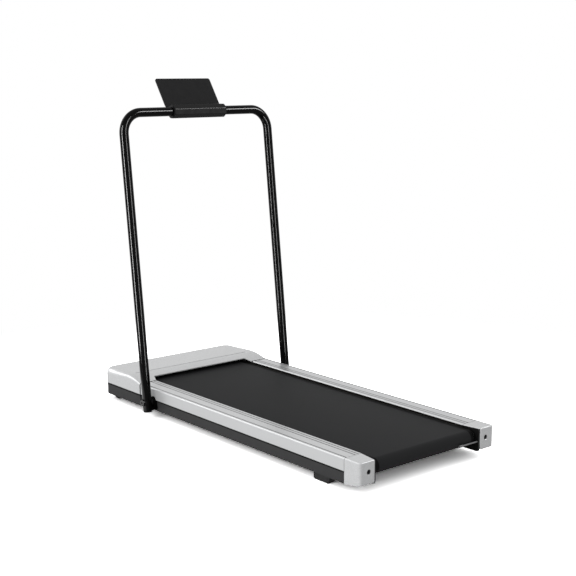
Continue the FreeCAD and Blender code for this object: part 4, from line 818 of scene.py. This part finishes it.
def screw_points(low, high, sizes):
    """An upright screw with its head down: rings from the middle of the head, over its dome, up the shank.

    The head's face is a shallow dome, sunk by a cross: a point is in the cross where its distance along one
    arm is under the reach and across it is under the half width, with sloping walls.
    """
    head, tip = (high[0] - low[0]) / 2, high[2] - low[2]
    angles = round_steps(SCREW_STEPS)
    out = np.linspace(HEAD_MIDDLE, 1.0, HEAD_RINGS)[:, None] * head
    dome = DOME_SHARE * sizes.head_height * (out / head) ** 2
    along, over = np.abs(out * np.cos(angles)), np.abs(out * np.sin(angles))
    arm_one = np.minimum(sizes.recess_reach - along, sizes.recess_width - over)
    arm_two = np.minimum(sizes.recess_reach - over, sizes.recess_width - along)
    sunk = sizes.recess_depth * np.clip(np.maximum(arm_one, arm_two) / RECESS_WALL + 1.0, 0.0, 1.0)
    shank_up = np.linspace(sizes.head_height, tip - sizes.shank_radius, SHANK_RINGS)[:, None]
    thread = THREAD_DEPTH * np.sin(shank_up / THREAD_PITCH * tau)
    ring = np.ones(angles.shape)
    rise = np.concatenate([dome + sunk, sizes.head_height * ring, shank_up * ring, tip * ring])
    wide = np.concatenate([
        out * ring, head * ring, (sizes.shank_radius + thread) * ring,
        POINT_SHARE * sizes.shank_radius * ring,
    ])
    middle = (low + high) / 2
    return np.stack([
        middle[0] + wide * np.cos(angles), middle[1] + wide * np.sin(angles), low[2] + rise,
    ], axis=2)


# Stage

class Lamp(NamedTuple):
    """An area lamp, with the brightness of its face where white is one.

    It can be left out of the diffuse light, as a light that only draws highlights, or out of the highlights,
    and it can light the nodes of one group alone.
    """

    name: str
    place: tuple
    aim: tuple
    sides: tuple
    brightness: float
    diffuse: bool = True
    glossy: bool = True
    only: str | None = None


LIT_GROUPS = {
    "gloss_tubes": ("handlebar", "pivot_bolts"),
    "gloss_sleeve": SLEEVE,
    "rear_caps": REAR_CAPS,
    "silver_covers": ("motor_hood", *REAR_CAPS, *SIDE_RAILS),
}

LAMPS = (
    Lamp("overhead_softbox", place=(0.0, 0.3, 3.2), aim=(0.0, 0.0, 0.0), sides=(3.0, 2.4), brightness=0.15),
    Lamp("back_softbox", place=(-1.6, 3.3, 2.3), aim=(-0.27, 0.3, 0.1), sides=(1.9, 3.4), brightness=2.2,
         diffuse=False),
    Lamp("left_strip", place=(-1.9, 0.35, 0.9), aim=(-0.3, 0.35, 0.9), sides=(0.3, 2.2), brightness=170.0,
         diffuse=False, only="gloss_tubes"),
    Lamp("right_strip", place=(0.1, -1.3, 0.9), aim=(-0.3, 0.35, 0.9), sides=(0.3, 2.2), brightness=75.0,
         diffuse=False, only="gloss_tubes"),
    Lamp("bar_strip", place=(2.2, -2.0, 2.2), aim=(0.0, 0.4, 1.0), sides=(1.6, 0.8), brightness=95.0,
         diffuse=False, only="gloss_tubes"),
    Lamp("sleeve_strip", place=(2.2, -2.0, 2.2), aim=(0.0, 0.4, 1.0), sides=(1.6, 0.8), brightness=110.0,
         diffuse=False, only="gloss_sleeve"),
    Lamp("foot_strip", place=(-0.6, 0.5, 0.004), aim=(-0.6, 0.5, 1.0), sides=(0.5, 0.5), brightness=6.5,
         diffuse=False, only="gloss_tubes"),
    Lamp("cap_strip", place=(2.1, -1.56, 2.0), aim=(0.0, -0.63, 0.09), sides=(0.8, 0.8), brightness=10.0,
         diffuse=False, only="rear_caps"),
    Lamp("left_fill", place=(-3.6, -0.2, 1.6), aim=(0.0, 0.0, 0.1), sides=(2.0, 2.0), brightness=2.7,
         glossy=False),
    Lamp("low_fill", place=(-3.6, -0.2, 0.8), aim=(0.0, 0.0, 0.1), sides=(2.0, 1.0), brightness=13.0,
         glossy=False, only="silver_covers"),
)


def bare_tree(owner):
    """The node tree of a new world or material, emptied."""
    owner.use_nodes = True
    owner.node_tree.nodes.clear()
    return owner.node_tree


def seen_directly(tree):
    """A factor of one for rays from the camera, a mirror or glass, which see the white surroundings."""
    path = add_node(tree, "ShaderNodeLightPath").outputs
    level = path["Is Camera Ray"]
    for kind in ("Is Glossy Ray", "Is Transmission Ray"):
        level = add_node(tree, "ShaderNodeMath", level, path[kind], operation="MAXIMUM").outputs["Value"]
    return level


def studio_world(ambient):
    """A white surround that lights the object at the ambient level."""
    world = bpy.data.worlds.new("studio")
    tree = bare_tree(world)
    lit = add_node(tree, "ShaderNodeBackground", WHITE, ambient)
    shown = add_node(tree, "ShaderNodeBackground", WHITE)
    mix = add_node(tree, "ShaderNodeMixShader", seen_directly(tree), lit.outputs[0], shown.outputs[0])
    add_node(tree, "ShaderNodeOutputWorld", mix.outputs[0])
    bpy.context.scene.world = world


def floor_material(sizes):
    """White floor that keeps the close shadow of the object and turns plain white further off."""
    material = bpy.data.materials.new("studio_floor")
    tree = bare_tree(material)
    diffuse = add_node(tree, "ShaderNodeBsdfDiffuse", (*[sizes.floor_level] * 3, 1.0))
    direct = add_node(tree, "ShaderNodeLightPath").outputs["Is Camera Ray"]
    raised = add_node(tree, "ShaderNodeMath", direct, sizes.floor_gain, operation="MULTIPLY")
    extra = add_node(tree, "ShaderNodeBsdfDiffuse", raised.outputs["Value"])
    near = add_node(tree, "ShaderNodeAddShader", diffuse.outputs[0], extra.outputs[0])
    far = add_node(tree, "ShaderNodeEmission", WHITE)
    place = add_node(tree, "ShaderNodeTexCoord").outputs["Object"]
    distance = add_node(tree, "ShaderNodeVectorMath", place, operation="LENGTH")
    fade = add_node(
        tree, "ShaderNodeMapRange", distance.outputs["Value"], interpolation_type="SMOOTHSTEP",
        From_Min=sizes.fade_start, From_Max=sizes.fade_end,
    )
    shown = add_node(tree, "ShaderNodeMixShader", fade.outputs["Result"], near.outputs[0], far.outputs[0])
    mix = add_node(tree, "ShaderNodeMixShader", seen_directly(tree), diffuse.outputs[0], shown.outputs[0])
    add_node(tree, "ShaderNodeOutputMaterial", mix.outputs[0])
    return material


def studio_floor(sizes):
    """A large square floor under the object."""
    reach = sizes.floor_reach
    mesh = bpy.data.meshes.new("floor")
    corners = [(-reach, -reach, 0.0), (reach, -reach, 0.0), (reach, reach, 0.0), (-reach, reach, 0.0)]
    mesh.from_pydata(corners, [], [(0, 1, 2, 3)])
    mesh.materials.append(floor_material(sizes))
    floor = add_object("floor", mesh)


def lit_group(name, nodes):
    """A collection of nodes that a lamp can light alone."""
    group = bpy.data.collections.new(name)
    for node in nodes:
        group.objects.link(frame["nodes"][node])
    return group


def softbox(lamp, receivers):
    """Puts a lamp in the scene, for all objects or for a collection of receivers."""
    light = bpy.data.lights.new(lamp.name, "AREA")
    light.shape = "RECTANGLE"
    width, height = lamp.sides
    light.size, light.size_y = width, height
    light.energy = lamp.brightness * width * height * pi
    holder = add_object(lamp.name, light)
    holder.location = lamp.place
    holder.rotation_euler = (Vector(lamp.aim) - Vector(lamp.place)).to_track_quat("-Z", "Y").to_euler()
    holder.visible_camera = False
    holder.visible_diffuse = lamp.diffuse
    holder.visible_glossy = lamp.glossy
    holder.light_linking.receiver_collection = receivers


def studio_camera(sizes):
    """The camera at the place, the angle and the lens of the settings."""
    lens = bpy.data.cameras.new("camera")
    lens.lens = sizes.focal_length
    lens.sensor_width = sizes.sensor_width
    camera = add_object("camera", lens)
    camera.location = sizes.camera_place
    camera.rotation_euler = (pi / 2 - sizes.camera_pitch, 0.0, -sizes.camera_yaw)
    bpy.context.scene.camera = camera


# Operators

class SilverCovers(bpy.types.Operator):
    """Finish the side rails, the end caps and the motor hood"""

    bl_idname = "walking_pad.silver_covers"
    bl_label = "Silver Covers"

    def execute(self, context):
        dress("aluminium_rail", anodised_aluminium())
        dress("silver_cover", silver_lacquer())
        return {"FINISHED"}


class DarkFrame(bpy.types.Operator):
    """Finish the frame rails, the crossbars, the motor tray and the rear brackets"""

    bl_idname = "walking_pad.dark_frame"
    bl_label = "Dark Frame"

    def execute(self, context):
        dress("dark_paint", powder_coat())
        # The tray carries the painted shadow under the silver rails.
        dress("dark_plastic", dark_moulding("tray_plastic", cover_shadow()))
        brackets = [f"{side}_rear_bracket" for side in SIDES]
        # The brackets carry painted shade where the gap beside the belt is deep.
        coat(dark_moulding("bracket_plastic", bracket_shade()), *brackets)
        return {"FINISHED"}


class BlackFittings(bpy.types.Operator):
    """Finish the plate of the tablet holder, the wheel forks and the other black mouldings"""

    bl_idname = "walking_pad.black_fittings"
    bl_label = "Black Fittings"

    def execute(self, context):
        dress("black_plastic", moulded_plastic())
        return {"FINISHED"}


class Handle(bpy.types.Operator):
    """Finish the handle tube, its hinge brackets and pivot bolts, and the sleeve of the tablet holder"""

    bl_idname = "walking_pad.handle"
    bl_label = "Handle"

    def execute(self, context):
        dress("black_paint", black_lacquer())
        coat(satin_sleeve(), *SLEEVE)
        return {"FINISHED"}


class WalkingBelt(bpy.types.Operator):
    """Make the walking belt and finish the deck board under it"""

    bl_idname = "walking_pad.walking_belt"
    bl_label = "Walking Belt"

    def execute(self, context):
        points, uv = belt_loop(settings().belt.thickness)
        belt = surface("belt_loop", points, loop_rows=True, uv=uv)
        finish_piece(belt, pressed_belt(), "belt_rubber", "base", "walking_belt")
        dress("board", waxed_board())
        return {"FINISHED"}


class Wheels(bpy.types.Operator):
    """Make a grooved tyre and a spoked hub for each transport wheel, and finish the other rubber"""

    bl_idname = "walking_pad.wheels"
    bl_label = "Wheels and Rubber"

    def execute(self, context):
        colours, sizes = settings().colours, settings().wheels
        dress("rubber", moulded_rubber("foot_rubber", colours.rubber))
        tyre_finish = moulded_rubber("tyre_rubber", colours.tyre)
        hub_finish = bpy.data.materials.get("moulded_plastic") or moulded_plastic()
        axle_low, axle_high = corner_box("wheel_axles")
        bore = (axle_high[2] - axle_low[2]) / 2 + AXLE_GAP
        for side in SIDES:
            low, high = corner_box(f"{side}_wheel")
            centre, half = (low + high) / 2, (high - low) / 2
            tyre = surface(f"{side}_tyre", tyre_points(centre, half[2], half[0], sizes), loop_rows=True)
            finish_piece(tyre, tyre_finish, "rubber", f"{side}_wheel_body", f"{side}_wheel")
            hub = surface(f"{side}_hub", hub_points(centre, bore, half[0], sizes), loop_rows=True)
            finish_piece(hub, hub_finish, "black_plastic", f"{side}_wheel_body", f"{side}_wheel")
        return {"FINISHED"}


class Steel(bpy.types.Operator):
    """Finish the steel pieces and make the screws of the underside with a cross recess"""

    bl_idname = "walking_pad.steel"
    bl_label = "Steel and Screws"

    def execute(self, context):
        colours = settings().colours
        steel = turned_steel()
        dress("steel", steel)
        tension_bolts = [f"{side}_tension_bolt" for side in SIDES]
        # Painted shade: the tension bolts are dark for the shade inside the key holes.
        coat(treated_steel("shaded_bolt_steel", colours.bolt_shade), *tension_bolts)
        # Painted shade: the guide pin is dark for the shadow it sits in.
        coat(treated_steel("shaded_pin_steel", colours.pin_shade), "belt_guide_pin")
        for number, (low, high) in enumerate(separate_boxes("underside_screws"), start=1):
            screw = surface(f"underside_screw_{number}", screw_points(low, high, settings().screws))
            finish_piece(screw, steel, "steel", "base", "underside_screws")
        return {"FINISHED"}


class Drive(bpy.types.Operator):
    """Finish the motor, the pulleys, the heat sink, the flywheel and the axle blocks"""

    bl_idname = "walking_pad.drive"
    bl_label = "Drive"

    def execute(self, context):
        dress("cast_metal", cast_iron())
        dress("pulley_metal", machined_aluminium())
        dress("motor_paint", motor_enamel())
        return {"FINISHED"}


class Electrics(bpy.types.Operator):
    """Finish the circuit board, the capacitors, the inlet pins, the switch and the reset button"""

    bl_idname = "walking_pad.electrics"
    bl_label = "Electrics"

    def execute(self, context):
        colours = settings().colours
        dress("circuit_board", board_laminate())
        dress("capacitor_sleeve", shrink_film())
        dress("brass", bright_brass())
        dress("switch_plastic", gloss_moulding("switch_gloss", colours.black_plastic))
        dress("button_plastic", gloss_moulding("button_gloss", colours.button))
        return {"FINISHED"}


class Stage(bpy.types.Operator):
    """Make the floor, the surround, the lamps and the camera"""

    bl_idname = "walking_pad.stage"
    bl_label = "Stage"

    def execute(self, context):
        sizes = settings().stage
        studio_floor(sizes)
        studio_world(sizes.ambient)
        groups = {name: lit_group(name, nodes) for name, nodes in LIT_GROUPS.items()}
        for lamp in LAMPS:
            softbox(lamp, groups.get(lamp.only))
        studio_camera(sizes)
        context.scene.view_settings.view_transform = "Standard"
        return {"FINISHED"}


OPERATORS = (
    SilverCovers, DarkFrame, BlackFittings, Handle, WalkingBelt, Wheels, Steel, Drive, Electrics, Stage,
)


class PadPanel(bpy.types.Panel):
    """Lists the steps that dress the walking pad"""

    bl_idname = "VIEW3D_PT_walking_pad"
    bl_label = "Walking Pad"
    bl_space_type = "VIEW_3D"
    bl_region_type = "UI"
    bl_category = "Walking Pad"

    def draw(self, context):
        for step in OPERATORS:
            self.layout.operator(step.bl_idname)


CLASSES = (
    PadColours, PaintedShade, BeltSizes, WheelSizes, ScrewSizes, StageSizes, PadSettings, *OPERATORS, PadPanel,
)


def register():
    """Registers the classes and keeps the settings in the scene."""
    for cls in CLASSES:
        bpy.utils.register_class(cls)
    bpy.types.Scene.walking_pad = PointerProperty(type=PadSettings)


def unregister():
    """Undoes what register did."""
    del bpy.types.Scene.walking_pad
    for cls in reversed(CLASSES):
        bpy.utils.unregister_class(cls)


def main():
    """Runs every step."""
    register()
    for step in OPERATORS:
        group, name = step.bl_idname.split(".")
        getattr(getattr(bpy.ops, group), name)()


if __name__ == "__main__":
    main()
